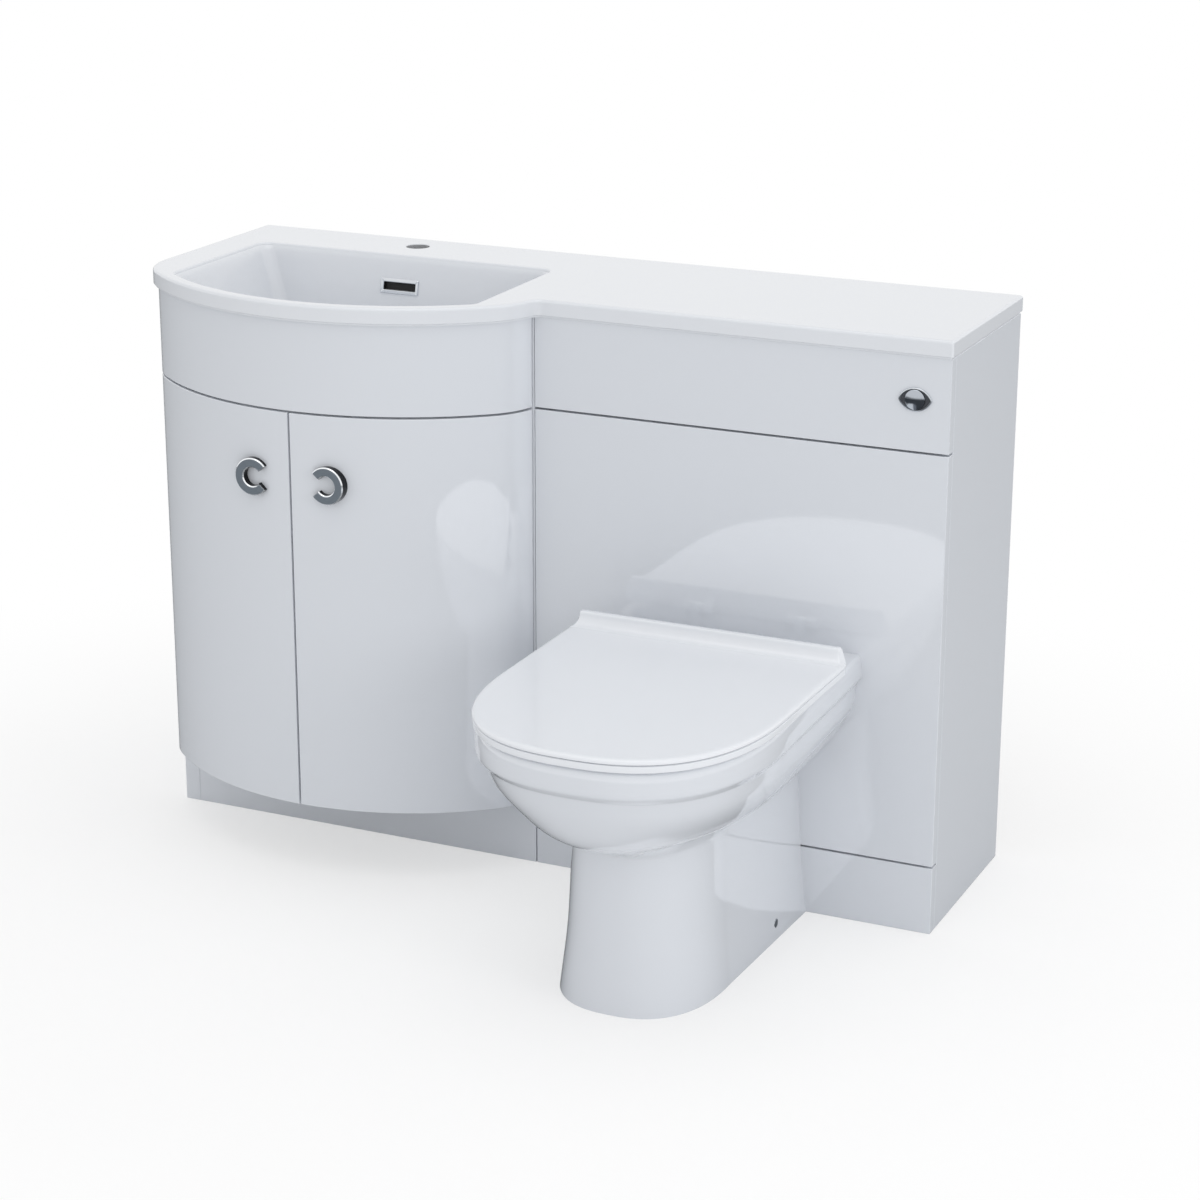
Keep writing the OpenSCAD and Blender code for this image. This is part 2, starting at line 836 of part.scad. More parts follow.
// Steel angles that fix the back rails to the wall
module wall_brackets() {
    leg = 24;
    steel_t = 2;
    width = 30;
    color(zinc) at_face()
        for (x = [basin_in_l + 60, basin_in_r - 90, wc_in_l + 60, wc_in_r - 90]) {
            z = cab_h - leg - 6;
            board([x, rail_y + board_t, z], [x + width, rail_y + board_t + steel_t, z + leg]);
            board([x, rail_y + board_t, z + leg - steel_t], [x + width, cab_d, z + leg]);
            board([x, cab_d - steel_t, z - leg / 2], [x + width, cab_d, z + leg]);
        }
}

// Clips that hold the removable main panel on its battens
module panel_clips() {
    clip = [12, 6, 24];
    color(valve_grey) at_face()
        for (x = [wc_in_l + 70, wc_in_r - 82])
            for (z = [plinth_h + reveal / 2 + 20, apron_z0 - reveal / 2 - 20 - clip[2]])
                translate([x, board_t, z]) cube(clip);
}

module cistern_tank() {
    x0 = tank_cx - tank_w / 2;
    color(cistern_white) at_face() difference() {
        board([x0, tank_y, tank_z], [x0 + tank_w, tank_y + tank_d, tank_z + tank_h]);
        board(
            [x0 + tank_wall, tank_y + tank_wall, tank_z + tank_wall],
            [x0 + tank_w - tank_wall, tank_y + tank_d - tank_wall, tank_z + tank_h + 1]
        );
        translate([valve_x, valve_y, tank_z - 1]) cylinder(d = flush_d + 8, h = tank_wall + 2);
        translate([fill_x, valve_y, tank_z - 1]) cylinder(d = 22, h = tank_wall + 2);
        bar_y(hose_d + 6, tank_y - 1, tank_y + tank_wall + 1, valve_x + hose_run_x, hose_run_z);
    }
}

module cistern_lid() {
    x0 = tank_cx - tank_w / 2;
    rim = 3;
    lid_h = 12;
    color(cistern_white) at_face() difference() {
        board(
            [x0 - rim, tank_y - rim, tank_z + tank_h - lid_h + 4],
            [x0 + tank_w + rim, tank_y + tank_d + rim, tank_z + tank_h + 4]
        );
        board(
            [x0 - skin, tank_y - skin, tank_z + tank_h - lid_h],
            [x0 + tank_w + skin, tank_y + tank_d + skin, tank_z + tank_h]
        );
        bar_y(hose_d + 6, tank_y - 2 * rim, tank_y + rim, valve_x + hose_run_x, hose_run_z);
    }
}

// Angles under the cistern, screwed to an upright on each side of the cabinet
module cistern_brackets() {
    steel_t = 3;
    leg = 40;
    run_in = 24;
    x0 = tank_cx - tank_w / 2;
    color(zinc) at_face() for (side = [0, 1]) {
        shelf_x = side == 0 ? wc_in_l : x0 + tank_w - run_in;
        shelf_w = side == 0 ? x0 + run_in - wc_in_l : wc_in_r - shelf_x;
        wall_x = side == 0 ? wc_in_l : wc_in_r - steel_t;
        translate([shelf_x, tank_y + 20, tank_z - steel_t]) cube([shelf_w, tank_d - 40, steel_t]);
        translate([wall_x, tank_y + 20, tank_z - leg]) cube([steel_t, tank_d - 40, leg]);
    }
}

stem_d = 14;
cup_h = 46;
cup_low = 30;

// Fill valve: a stem from the tail under the cistern to the head above the float
module fill_valve() {
    z0 = tank_z + tank_wall;
    head_z = z0 + cup_low + cup_h + float_travel + 20;
    color(valve_grey) at_face() translate([fill_x, valve_y, 0]) {
        translate([0, 0, tank_z - 30]) cylinder(d = 20.9, h = 30 + tank_wall);
        translate([0, 0, tank_z - 8]) cylinder(d = 34, h = 8, $fn = 6);
        translate([0, 0, z0]) cylinder(d = 32, h = 6);
        translate([0, 0, z0]) cylinder(d = stem_d, h = head_z - z0);
        translate([0, 0, head_z]) cylinder(d = 38, h = 22);
        translate([0, 0, z0 + 6]) cylinder(d = 24, h = cup_low - 6 - skin);
    }
}

// Float that slides on the stem of the fill valve
module float_cup() {
    z0 = tank_z + tank_wall + cup_low;
    color(rubber_black) at_face() translate([float_x, valve_y, z0]) difference() {
        cylinder(d = 60, h = cup_h);
        translate([0, 0, -1]) cylinder(d = stem_d + 1.2, h = cup_h + 2);
        translate([0, 0, -1]) difference() {
            cylinder(d = 55, h = cup_h - 3);
            cylinder(d = stem_d + 6, h = cup_h);
        }
    }
}

valve_body_d = 74;
valve_body_h = tank_h - tank_wall - valve_room;
seat_ring_h = 10;

// Flush valve: a slotted tower over the outlet, with its bellows on top
module flush_valve() {
    z0 = tank_z + tank_wall;
    tail_l = 30;
    color(valve_grey) at_face() translate([valve_x, valve_y, 0]) difference() {
        union() {
            translate([0, 0, tank_z - tail_l]) cylinder(d = flush_d + 7, h = tail_l + tank_wall);
            translate([0, 0, tank_z - 10]) cylinder(d = flush_d + 30, h = 10 - skin, $fn = 8);
            translate([0, 0, z0]) cylinder(d = valve_body_d, h = valve_body_h);
            translate([0, 0, z0 + valve_body_h]) cylinder(d = 50, h = 18);
        }
        translate([0, 0, tank_z - tail_l - 1])
            cylinder(d = flush_d + 2 * run_fit, h = tail_l - 6 + 1);
        translate([0, 0, tank_z - tail_l - 1]) cylinder(d = flush_d - 6, h = tail_l + 20);
        translate([0, 0, z0 + seat_ring_h])
            cylinder(d = valve_body_d - 6, h = valve_body_h - seat_ring_h - 4);
        for (turn = [0 : 60 : 300]) rotate([0, 0, turn])
            translate([valve_body_d / 2 - 6, -9, z0 + seat_ring_h + 4]) cube([12, 18, 60]);
        bar_x(7, 15, 40, 0, z0 + valve_body_h + 9);
    }
}

// Plunger that lifts off the seat ring to let the water go
module flush_plunger() {
    z0 = tank_z + tank_wall + seat_ring_h + skin;
    rod_l = valve_body_h - seat_ring_h - 4 - plunger_lift - 4;
    color(cistern_white) at_face() translate([valve_x, valve_y, z0]) {
        cylinder(d = valve_body_d - 12, h = 6);
        cylinder(d = 24, h = rod_l);
    }
}

// Flush pipe: down from the flush valve and forward into the pan
module flush_pipe() {
    wall = 3;
    top = tank_z - 6;
    bend_y = valve_y - flush_bend_r;
    front = -inlet_depth + 30;
    module run(d, grow) {
        translate([pan_x, valve_y, inlet_z + flush_bend_r])
            cylinder(d = d, h = top - inlet_z - flush_bend_r + grow);
        translate([pan_x, bend_y, inlet_z + flush_bend_r]) rotate([90, 0, 90])
            rotate_extrude(angle = -90) translate([flush_bend_r, 0]) circle(d = d);
        bar_y(d, front - grow, bend_y, pan_x, inlet_z);
    }
    color(cistern_white) at_face() difference() {
        run(flush_d, 0);
        run(flush_d - 2 * wall, 1);
    }
}

// Rubber cone that seals the flush pipe in the inlet of the pan
module flush_cone() {
    lip = 6;
    color(rubber_black) at_face() translate([pan_x, 0, inlet_z]) rotate([90, 0, 0])
        difference() {
            union() {
                translate([0, 0, 0]) cylinder(d = inlet_d - 0.2, h = 32);
                translate([0, 0, -lip]) cylinder(d = inlet_d + 8, h = lip);
            }
            translate([0, 0, -lip - 1]) cylinder(d = flush_d + 0.2, h = 60);
        }
}

// Rubber seal round the outlet of the pan, in the hole of the main panel
module outlet_seal() {
    color(rubber_black) at_face() translate([pan_x, 0, outlet_z]) rotate([-90, 0, 0])
        difference() {
            cylinder(d = outlet_hole_d - 1, h = board_t);
            translate([0, 0, -1]) cylinder(d = shoulder_d + 0.2, h = board_t + 2);
        }
}

// Air hose from the button to the flush valve
hose_route = [
    [button_x, barrel_l + 5, button_z],
    [button_x, 52, button_z],
    [button_x - 3, 66, button_z + 4],
    [button_x - 12, 80, button_z + 12],
    [button_x - 30, 90, button_z + 20],
    [button_x - 60, 94, button_z + 24],
    [valve_x + 130, 94, button_z + 20],
    [valve_x + 90, 94, button_z + 8],
    [valve_x + 68, 96, button_z - 4],
    [valve_x + hose_run_x + 2, 100, hose_run_z]
];

module air_hose() {
    drop_z = tank_z + tank_wall + valve_body_h + 9;
    run = [
        for (p = hose_route) p,
        [valve_x + hose_run_x, tank_y + 4, hose_run_z],
        [valve_x + hose_run_x, tank_y + 20, hose_run_z - 1],
        [valve_x + hose_run_x, tank_y + 42, hose_run_z - 11],
        [valve_x + 58, valve_y - 12, drop_z + 50],
        [valve_x + 52, valve_y, drop_z + 22],
        [valve_x + 46, valve_y, drop_z + 6],
        [valve_x + 38, valve_y, drop_z],
        [valve_x + 26, valve_y, drop_z]
    ];
    color(rubber_black) at_face() swept_tube(run, hose_d / 2, 8);
}

// A tube with flat sides along a list of points
function unit(v) = v / norm(v);
function heading(p, i) =
    i == 0 ? unit(p[1] - p[0])
    : i == len(p) - 1 ? unit(p[i] - p[i - 1])
    : unit(unit(p[i + 1] - p[i]) + unit(p[i] - p[i - 1]));
function ring_points(p, i, r, sides) =
    let (
        along = heading(p, i),
        up = abs(along[2]) > 0.95 ? [0, 1, 0] : [0, 0, 1],
        across = unit(cross(along, up)),
        over = cross(across, along)
    )
    [for (k = [0 : sides - 1]) p[i] + r * (cos(k * 360 / sides) * across + sin(k * 360 / sides) * over)];

module swept_tube(p, r, sides) {
    rings = len(p);
    points = [for (i = [0 : rings - 1]) each ring_points(p, i, r, sides)];
    walls = [
        for (i = [0 : rings - 2], k = [0 : sides - 1])
            let (n = (k + 1) % sides)
            each [
                [i * sides + k, i * sides + n, (i + 1) * sides + n],
                [i * sides + k, (i + 1) * sides + n, (i + 1) * sides + k]
            ]
    ];
    first = [for (k = [sides - 1 : -1 : 0]) k];
    last = [for (k = [0 : sides - 1]) (rings - 1) * sides + k];
    polyhedron(points, concat(walls, [first, last]));
}

// Places its children at the button: z points into the cabinet
module at_button() {
    translate([button_x, 0, button_z]) rotate([-90, 0, 0]) children();
}

// Eye-shaped bezel with the threaded barrel that goes through the panel
module button_bezel() {
    shift = bezel_r - bezel_h / 2;
    color(chrome) at_face() at_button() difference() {
        union() {
            translate([0, 0, -bezel_t]) linear_extrude(bezel_t) intersection() {
                translate([0, shift]) circle(r = bezel_r);
                translate([0, -shift]) circle(r = bezel_r);
            }
            cylinder(r = barrel_r, h = barrel_l);
            translate([0, 0, barrel_l - 1]) cylinder(d = 8, h = 6);
        }
        translate([0, 0, -bezel_t - 1]) cylinder(r = button_bore_r, h = bezel_t + barrel_l - 3);
        translate([0, 0, barrel_l]) cylinder(d = 3, h = 10);
    }
}

module button_nut() {
    color(zinc) at_face() at_button() translate([0, 0, board_t]) difference() {
        cylinder(d = 2 * barrel_r + 9, h = 6, $fn = 6);
        translate([0, 0, -1]) cylinder(r = barrel_r + run_fit, h = 8);
    }
}

module flush_button() {
    dome_r = 30;
    dome_up = 4.5;
    face = -bezel_t - dome_up;
    color(chrome) at_face() at_button() intersection() {
        translate([0, 0, face]) cylinder(d = button_d, h = button_l);
        translate([0, 0, face + dome_r]) sphere(r = dome_r);
    }
}

// Return spring between the button and the back of the barrel
module button_spring() {
    wire = 1.2;
    mean_r = 9;
    turns = 6;
    steps = 12;
    z0 = -bezel_t - 4.5 + button_l + wire / 2 + 0.05;
    z1 = barrel_l - bezel_t - 1.5 - wire / 2;
    count = turns * steps;
    path = [
        for (i = [0 : count])
            [mean_r * cos(i * 360 / steps), mean_r * sin(i * 360 / steps), z0 + (z1 - z0) * i / count]
    ];
    color(zinc) at_face() at_button() swept_tube(path, wire / 2, 6);
}

// Stations of the pan: share of the height, of the half width at the widest and at
// the wall, of the reach, of the reach to the shoulder, and the power of the curve
foot_stations = [
    [0, 0.561, 0.602, 0.756, 0.477, 2.5],
    [0.256, 0.515, 0.551, 0.736, 0.468, 2.45],
    [0.583, 0.495, 0.515, 0.728, 0.459, 2.4]
];
neck_stations = [[0.56, 0.485, 0.505, 0.720, 0.459, 2.4], [0.621, 0.582, 0.561, 0.826, 0.385, 2.1]];
bowl_body_stations = [
    [0.600, 0.480, 0.490, 0.730, 0.385, 2.1],
    [0.645, 0.684, 0.643, 0.862, 0.376, 2.05],
    [0.670, 0.781, 0.740, 0.888, 0.394, 2.1],
    [0.716, 0.847, 0.816, 0.917, 0.440, 2.15],
    [0.767, 0.893, 0.872, 0.939, 0.486, 2.3],
    [0.818, 0.929, 0.913, 0.958, 0.523, 2.4],
    [0.885, 0.954, 0.929, 0.978, 0.550, 2.45]
];
rim_stations = [
    [0.870, 0.935, 0.910, 0.962, 0.550, 2.45],
    [0.900, 0.977, 0.942, 0.989, 0.550, 2.45],
    [0.917, 0.998, 0.964, 0.998, 0.550, 2.45],
    [0.960, 1, 0.966, 1, 0.550, 2.45],
    [0.990, 0.985, 0.956, 0.995, 0.550, 2.45],
    [1, 0.965, 0.940, 0.987, 0.550, 2.45]
];

// Stations of the inside of the bowl: share of the height, of the half width, and of
// the reach at the front and at the back
hollow_stations = [
    [1, 0.713, 0.910, 0.275],
    [0.97, 0.728, 0.916, 0.270],
    [0.84, 0.680, 0.880, 0.275],
    [0.69, 0.530, 0.770, 0.290],
    [0.55, 0.365, 0.632, 0.308],
    [0.42, 0.204, 0.532, 0.330],
    [0.345, 0.112, 0.480, 0.356]
];

// Half of a rounded front: points on a power curve from one side to the other
function front_curve(half, reach, back, power, count) = [
    for (i = [0 : count])
        let (t = -90 + 180 * i / count)
        [
            half * sign(sin(t)) * pow(abs(sin(t)), 2 / power),
            -back - (reach - back) * pow(abs(cos(t)), 2 / power)
        ]
];

module pan_slice(s, trim) {
    half = s[1] * pan_w / 2 - trim;
    half_wall = s[2] * pan_w / 2 - trim;
    reach = s[3] * pan_reach - trim;
    back = s[4] * pan_reach;
    end_y = trim > 0 ? -trim * 2 : 0;
    translate([0, 0, min(s[0] * pan_h, pan_h - slice)]) linear_extrude(slice) polygon(concat(
        front_curve(half, reach, back, s[5], 44),
        [
            [(half + half_wall) / 2, -back / 2],
            [half_wall, end_y],
            [-half_wall, end_y],
            [-(half + half_wall) / 2, -back / 2]
        ]
    ));
}

module hollow_slice(s, wall) {
    half = s[1] * pan_w / 2 + wall;
    mid = (s[2] + s[3]) / 2 * pan_reach;
    deep = (s[2] - s[3]) / 2 * pan_reach + wall;
    lift = s[0] == 1 ? 1 : 0;
    translate([0, -mid, s[0] * pan_h + lift - wall * (1 - s[0])]) linear_extrude(slice) polygon([
        for (t = [0 : 6 : 354])
            [
                half * sign(cos(t)) * pow(abs(cos(t)), 0.92),
                deep * sign(sin(t)) * pow(abs(sin(t)), 0.92)
            ]
    ]);
}

module hollow_form(wall) {
    hull() for (s = hollow_stations) hollow_slice(s, wall);
}

module pan_hull(stations, trim = 0) {
    hull() for (s = stations) pan_slice(s, trim);
}

// The way from the sump of the bowl up to the outlet
module trapway(wall) {
    sump = [-0.43 * pan_reach, 0.385 * pan_h];
    rise_y = -0.18 * pan_reach;
    climb = 15;
    trap_d = 60;
    translate([0, sump[0], sump[1]]) rotate([climb - 90, 0, 0])
        cylinder(d = trap_d + 2 * wall, h = (rise_y - sump[0]) / cos(climb));
    bar_y(outlet_bore_d + 2 * wall, rise_y - 14, outlet_reach + 1, 0, outlet_z);
}

// Room under the bowl, round the trapway, down to the floor
module foot_room() {
    foot_top = 0.56;
    difference() {
        hull() {
            translate([0, 0, -1]) pan_slice(foot_stations[0], foot_wall);
            translate([0, 0, (foot_top - foot_stations[2][0]) * pan_h])
                pan_slice(foot_stations[2], foot_wall);
        }
        hollow_form(foot_wall);
        trapway(foot_wall - 3);
    }
}

module toilet_pan() {
    fix_d = 13;
    recess_low = outlet_z + outlet_d / 2 + 10;
    recess_w = pan_w / 2;
    color(ceramic_white) at_face() translate([pan_x, 0, 0]) difference() {
        union() {
            difference() {
                union() {
                    pan_hull(foot_stations);
                    pan_hull(neck_stations);
                    pan_hull(bowl_body_stations);
                    pan_hull(rim_stations);
                }
                board([-recess_w / 2, -lid_back, recess_low], [recess_w / 2, 1, pan_h - 16]);
            }
            bar_y(outlet_d, -60, outlet_reach, 0, outlet_z);
            bar_y(shoulder_d, -60, shoulder_reach, 0, outlet_z);
            bar_y(inlet_d + 16, -lid_back - 4, 0, 0, inlet_z);
        }
        hollow_form(0);
        foot_room();
        trapway(0);
        bar_y(inlet_d, -inlet_depth, 1, 0, inlet_z);
        bar_y(inlet_d - 16, -0.32 * pan_reach, -inlet_depth + 1, 0, inlet_z);
        bar_x(fix_d, -pan_w, pan_w, -side_fixing_y, side_fixing_z);
        for (side = [-1, 1])
            translate([side * lid_hinge_x, axis_y + 14, pan_h - 30])
                cylinder(d = deck_bolt_d + 4, h = 40);
    }
}

// Plan of the lid and the seat: straight sides, a full front and round back corners
module lid_plan(trim) {
    half = lid_half_w - trim;
    corner = 12;
    reach = pan_reach + lid_over - trim;
    back = shoulder * pan_reach;
    end_y = -lid_back - trim / 4;
    polygon(concat(
        front_curve(half, reach, back, pan_power, 60),
        [for (a = [0 : 15 : 90]) [half - corner + corner * cos(a), end_y - corner + corner * sin(a)]],
        [for (a = [90 : 15 : 180]) [-half + corner + corner * cos(a), end_y - corner + corner * sin(a)]]
    ));
}

module lid_layer(z, trim) {
    translate([0, 0, z]) linear_extrude(slice) lid_plan(trim);
}

// A hinge ear behind the seat or lid, from its body back to the hinge axis
module ear(x0, body_z0, body_z1) {
    difference() {
        union() {
            bar_x(2 * knuckle_r, x0, x0 + knuckle_w, axis_y, axis_z);
            board([x0, -lid_back - 16, body_z0], [x0 + knuckle_w, axis_y, body_z1]);
        }
        bar_x(lid_pin_d + 2 * run_fit, x0 - 1, x0 + knuckle_w + 1, axis_y, axis_z);
    }
}

// Room for the other ears and for the post, all the way round the axis
module ear_room(x0, width) {
    bar_x(2 * knuckle_r + 4, x0 - knuckle_gap, x0 + width + knuckle_gap, axis_y, axis_z);
}

module buffer_places(z) {
    for (side = [-1, 1])
        for (y = [-0.40, -0.80])
            translate([side * (y < -0.6 ? 0.30 : 0.42) * pan_w, y * pan_reach, z]) children();
}

buffer_r = 7;
buffer_sink = 2;

module toilet_seat() {
    inner_half = 0.60 * pan_w / 2;
    inner_mid = -0.59 * pan_reach;
    inner_deep = 0.285 * pan_reach;
    module opening(grow) {
        translate([0, inner_mid]) scale([1, (inner_deep + grow) / (inner_half + grow)])
            circle(r = inner_half + grow, $fn = 72);
    }
    z0 = seat_z;
    z1 = seat_z + seat_t;
    color(seat_white) at_face() translate([pan_x, 0, 0]) {
        difference() {
            union() {
                hull() {
                    lid_layer(z0, 2);
                    lid_layer(z0 + 2, 0.5);
                    lid_layer(z1 - 2, 0.5);
                    lid_layer(z1 - slice, 2);
                }
            }
            hull() {
                translate([0, 0, z0 - 1]) linear_extrude(slice) opening(2);
                translate([0, 0, z0 + 4]) linear_extrude(slice) opening(0);
            }
            hull() {
                translate([0, 0, z0 + 3.9]) linear_extrude(slice) opening(0);
                translate([0, 0, z1 + 1]) linear_extrude(slice) opening(8);
            }
            buffer_places(z0 - 1) cylinder(r = buffer_r + 0.1, h = buffer_sink + 1);
        }
        for (side = [-1, 1])
            ear(side * (lid_hinge_x + knuckle_w + knuckle_gap) - knuckle_w / 2, z0 + 1, z1 - 1);
    }
}

module toilet_lid() {
    z1 = lid_z + lid_t;
    strip_z = z1 + strip_h;
    strip_half = lid_half_w - 10;
    module strip_layer(z, half, y0, y1) {
        translate([-half, y0, z]) cube([2 * half, y1 - y0, slice]);
    }
    color(seat_white) at_face() translate([pan_x, 0, 0]) {
        difference() {
            union() {
                hull() {
                    lid_layer(lid_z, 2);
                    lid_layer(lid_z + 1.5, 0);
                    lid_layer(z1 - 2, 1);
                    lid_layer(z1 - slice, 6);
                }
                hull() {
                    strip_layer(z1 - 1, strip_half, -lid_back - 17, -lid_back - 2);
                    strip_layer(z1 + 2, strip_half, -lid_back - 14, -lid_back - 1);
                    strip_layer(strip_z - 4, strip_half, -lid_back - 11, -lid_back);
                    strip_layer(strip_z, strip_half - 3, -lid_back - 10, -lid_back - 1);
                }
            }
            buffer_places(lid_z - 1) cylinder(r = buffer_r + 0.1, h = buffer_sink + 1);
        }
        for (side = [-1, 1])
            ear(side * (lid_hinge_x - knuckle_w - knuckle_gap) - knuckle_w / 2, lid_z + 1, z1 + 4);
    }
}

// Posts on the deck of the pan that hold the hinge pins, with their bolts
module seat_hinge_posts() {
    pin_half = 1.5 * knuckle_w + knuckle_gap;
    plate_t = 2.5;
    bolt_y = axis_y + 14;
    color(chrome) at_face() translate([pan_x, 0, 0]) for (side = [-1, 1])
        translate([side * lid_hinge_x, 0, 0]) {
            bar_x(lid_pin_d, -pin_half, pin_half, axis_y, axis_z);
            bar_x(2 * knuckle_r, -knuckle_w / 2, knuckle_w / 2, axis_y, axis_z);
            board(
                [-knuckle_w / 2, axis_y - 5, pan_h],
                [knuckle_w / 2, bolt_y, axis_z]
            );
            translate([0, bolt_y, pan_h]) cylinder(r = 11, h = plate_t);
            translate([0, bolt_y, pan_h]) cylinder(r = knuckle_w / 2, h = lid_axis_up - 2);
            translate([0, bolt_y, pan_h - 34]) cylinder(d = deck_bolt_d, h = 36);
        }
}

// Wing nuts on the bolts, under the deck of the pan
module seat_hinge_nuts() {
    deck_low = pan_h - 16;
    color(cistern_white) at_face() translate([pan_x, 0, 0]) for (side = [-1, 1])
        translate([side * lid_hinge_x, axis_y + 14, deck_low - 10]) difference() {
            union() {
                cylinder(r = 9, h = 10);
                board([-15, -3, 2], [15, 3, 10]);
            }
            translate([0, 0, -1]) cylinder(d = deck_bolt_d + 2 * run_fit, h = 12);
        }
}

module seat_buffers() {
    color(cistern_white) at_face() translate([pan_x, 0, 0])
        buffer_places(pan_h + skin) cylinder(r = buffer_r, h = seat_gap - skin + buffer_sink);
}

module lid_buffers() {
    color(cistern_white) at_face() translate([pan_x, 0, 0])
        buffer_places(seat_z + seat_t + skin) cylinder(r = buffer_r, h = lid_gap - skin + buffer_sink);
}

// Width of the foot of the pan at the side fixing holes
foot_half = 0.561 * pan_w / 2 + (0.602 - 0.561) * pan_w / 2 * (1 - side_fixing_y / pan_reach / 0.477);
foot_inner = foot_half - foot_wall - 3.5;

// Angle brackets on the floor inside the foot of the pan
module pan_floor_brackets() {
    steel_t = 3;
    width = 34;
    height = 30;
    reach = 32;
    color(zinc) at_face() translate([pan_x, -side_fixing_y, 0]) for (side = [-1, 1])
        scale([side, 1, 1]) difference() {
            union() {
                board([foot_inner - reach, -width / 2, 0], [foot_inner, width / 2, steel_t]);
                board([foot_inner - steel_t, -width / 2, 0], [foot_inner, width / 2, height]);
            }
            bar_x(6 + 2 * run_fit, foot_inner - 9, foot_inner + 1, 0, side_fixing_z);
        }
}

module pan_fixing_screws() {
    head_x = foot_half - 5;
    color(chrome) at_face() translate([pan_x, -side_fixing_y, side_fixing_z]) for (side = [-1, 1])
        scale([side, 1, 1]) {
            bar_x(6, foot_inner - 10, head_x, 0, 0);
            bar_x(12.5, head_x - 1, head_x + 3, 0, 0);
        }
}

basin_worktop();
overflow_trim();
left_end_panel();
basin_right_panel();
basin_base();
basin_shelf();
shelf_pins();
basin_back_rails();
basin_front_rail();
basin_plinth();
curved_apron();
left_door();
right_door();
left_handle();
right_handle();
left_handle_screws();
right_handle_screws();
left_hinge_arms();
right_hinge_arms();
left_hinge_links();
right_hinge_links();
left_hinge_plates();
right_hinge_plates();
wc_left_panel();
wc_right_panel();
wc_plinth();
wc_upper_panel();
wc_main_panel();
wc_front_battens();
wc_back_rails();
wall_brackets();
panel_clips();
cistern_tank();
cistern_lid();
cistern_brackets();
fill_valve();
float_cup();
flush_valve();
flush_plunger();
flush_pipe();
flush_cone();
air_hose();
button_bezel();
button_nut();
flush_button();
button_spring();
toilet_pan();
toilet_seat();
toilet_lid();
seat_hinge_posts();
seat_hinge_nuts();
seat_buffers();
lid_buffers();
pan_floor_brackets();
pan_fixing_screws();
outlet_seal();
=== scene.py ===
"""Looks of a toilet and basin combination unit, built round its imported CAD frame.

Sizes are in millimetres in the part's own coordinates: x from the joint between the
cabinets, y from their front plane back to the wall, z up from the floor.
"""

import json
from bisect import bisect_left
from math import acos, asin, atan, atan2, copysign, cos, degrees, hypot, pi, radians, sin, sqrt

import bmesh
import bpy
from mathutils import Matrix, Vector


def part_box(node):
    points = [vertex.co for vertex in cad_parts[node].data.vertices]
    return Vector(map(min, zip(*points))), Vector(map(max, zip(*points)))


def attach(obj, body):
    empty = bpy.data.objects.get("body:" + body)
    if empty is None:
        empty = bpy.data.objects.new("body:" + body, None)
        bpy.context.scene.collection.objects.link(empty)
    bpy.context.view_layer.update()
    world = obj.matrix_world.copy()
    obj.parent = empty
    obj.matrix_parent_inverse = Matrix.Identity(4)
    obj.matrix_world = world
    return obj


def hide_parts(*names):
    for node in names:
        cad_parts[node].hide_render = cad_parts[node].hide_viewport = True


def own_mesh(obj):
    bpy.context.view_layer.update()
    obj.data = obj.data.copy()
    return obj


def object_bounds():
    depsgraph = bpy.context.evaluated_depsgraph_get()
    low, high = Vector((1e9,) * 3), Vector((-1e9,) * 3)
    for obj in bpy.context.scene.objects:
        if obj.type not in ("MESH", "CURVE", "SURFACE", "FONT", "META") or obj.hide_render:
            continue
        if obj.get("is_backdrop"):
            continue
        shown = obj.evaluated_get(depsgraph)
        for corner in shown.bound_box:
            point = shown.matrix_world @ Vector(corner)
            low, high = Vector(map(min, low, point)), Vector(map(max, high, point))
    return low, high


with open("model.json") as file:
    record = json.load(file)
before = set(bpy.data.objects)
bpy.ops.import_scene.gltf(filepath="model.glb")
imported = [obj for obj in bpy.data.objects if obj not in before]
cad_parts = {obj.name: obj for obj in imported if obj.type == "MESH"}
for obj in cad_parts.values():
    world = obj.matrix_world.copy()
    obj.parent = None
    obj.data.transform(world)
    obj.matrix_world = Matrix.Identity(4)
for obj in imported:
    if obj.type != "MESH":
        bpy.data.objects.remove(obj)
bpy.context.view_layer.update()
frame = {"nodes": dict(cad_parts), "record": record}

# ---- sizes

# Cabinets. Their front plane lies FACE_Y behind the middle of the frame
MM = 0.001
FACE_Y = 122.0
CAB_D = 303.0
CAB_H = 811.0
TOP_Z = 836.0
BOARD = 18.0
DOOR_BACK_GAP = 2.5
END_SPARE = 3.0
DOOR_Z = (100.0, 680.0)
APRON_Z = (683.0, CAB_H)
REVEAL = 3.0

# Bow of the basin cabinet: one large arc between two small ones
BASIN_CX = -298.0
BOW_R = 391.0
BOW_END_R = 100.0
BOW_END_X = 197.0
BOW_END_Y = 13.8
BOW_CY = BOW_END_Y + sqrt((BOW_R - BOW_END_R) ** 2 - BOW_END_X ** 2)
BOW_HALF = 297.0
BOW_TURN = degrees(atan2(BOW_CY - BOW_END_Y, BOW_END_X))

# Edge of the worktop
BOW_LIP = 7.0
FRONT_LIP = 4.0
WORKTOP_RIGHT = 602.0
CORNER_FILLET = 14.0
EDGE_STEP = 3.0
TOP_ROUND = 4.0

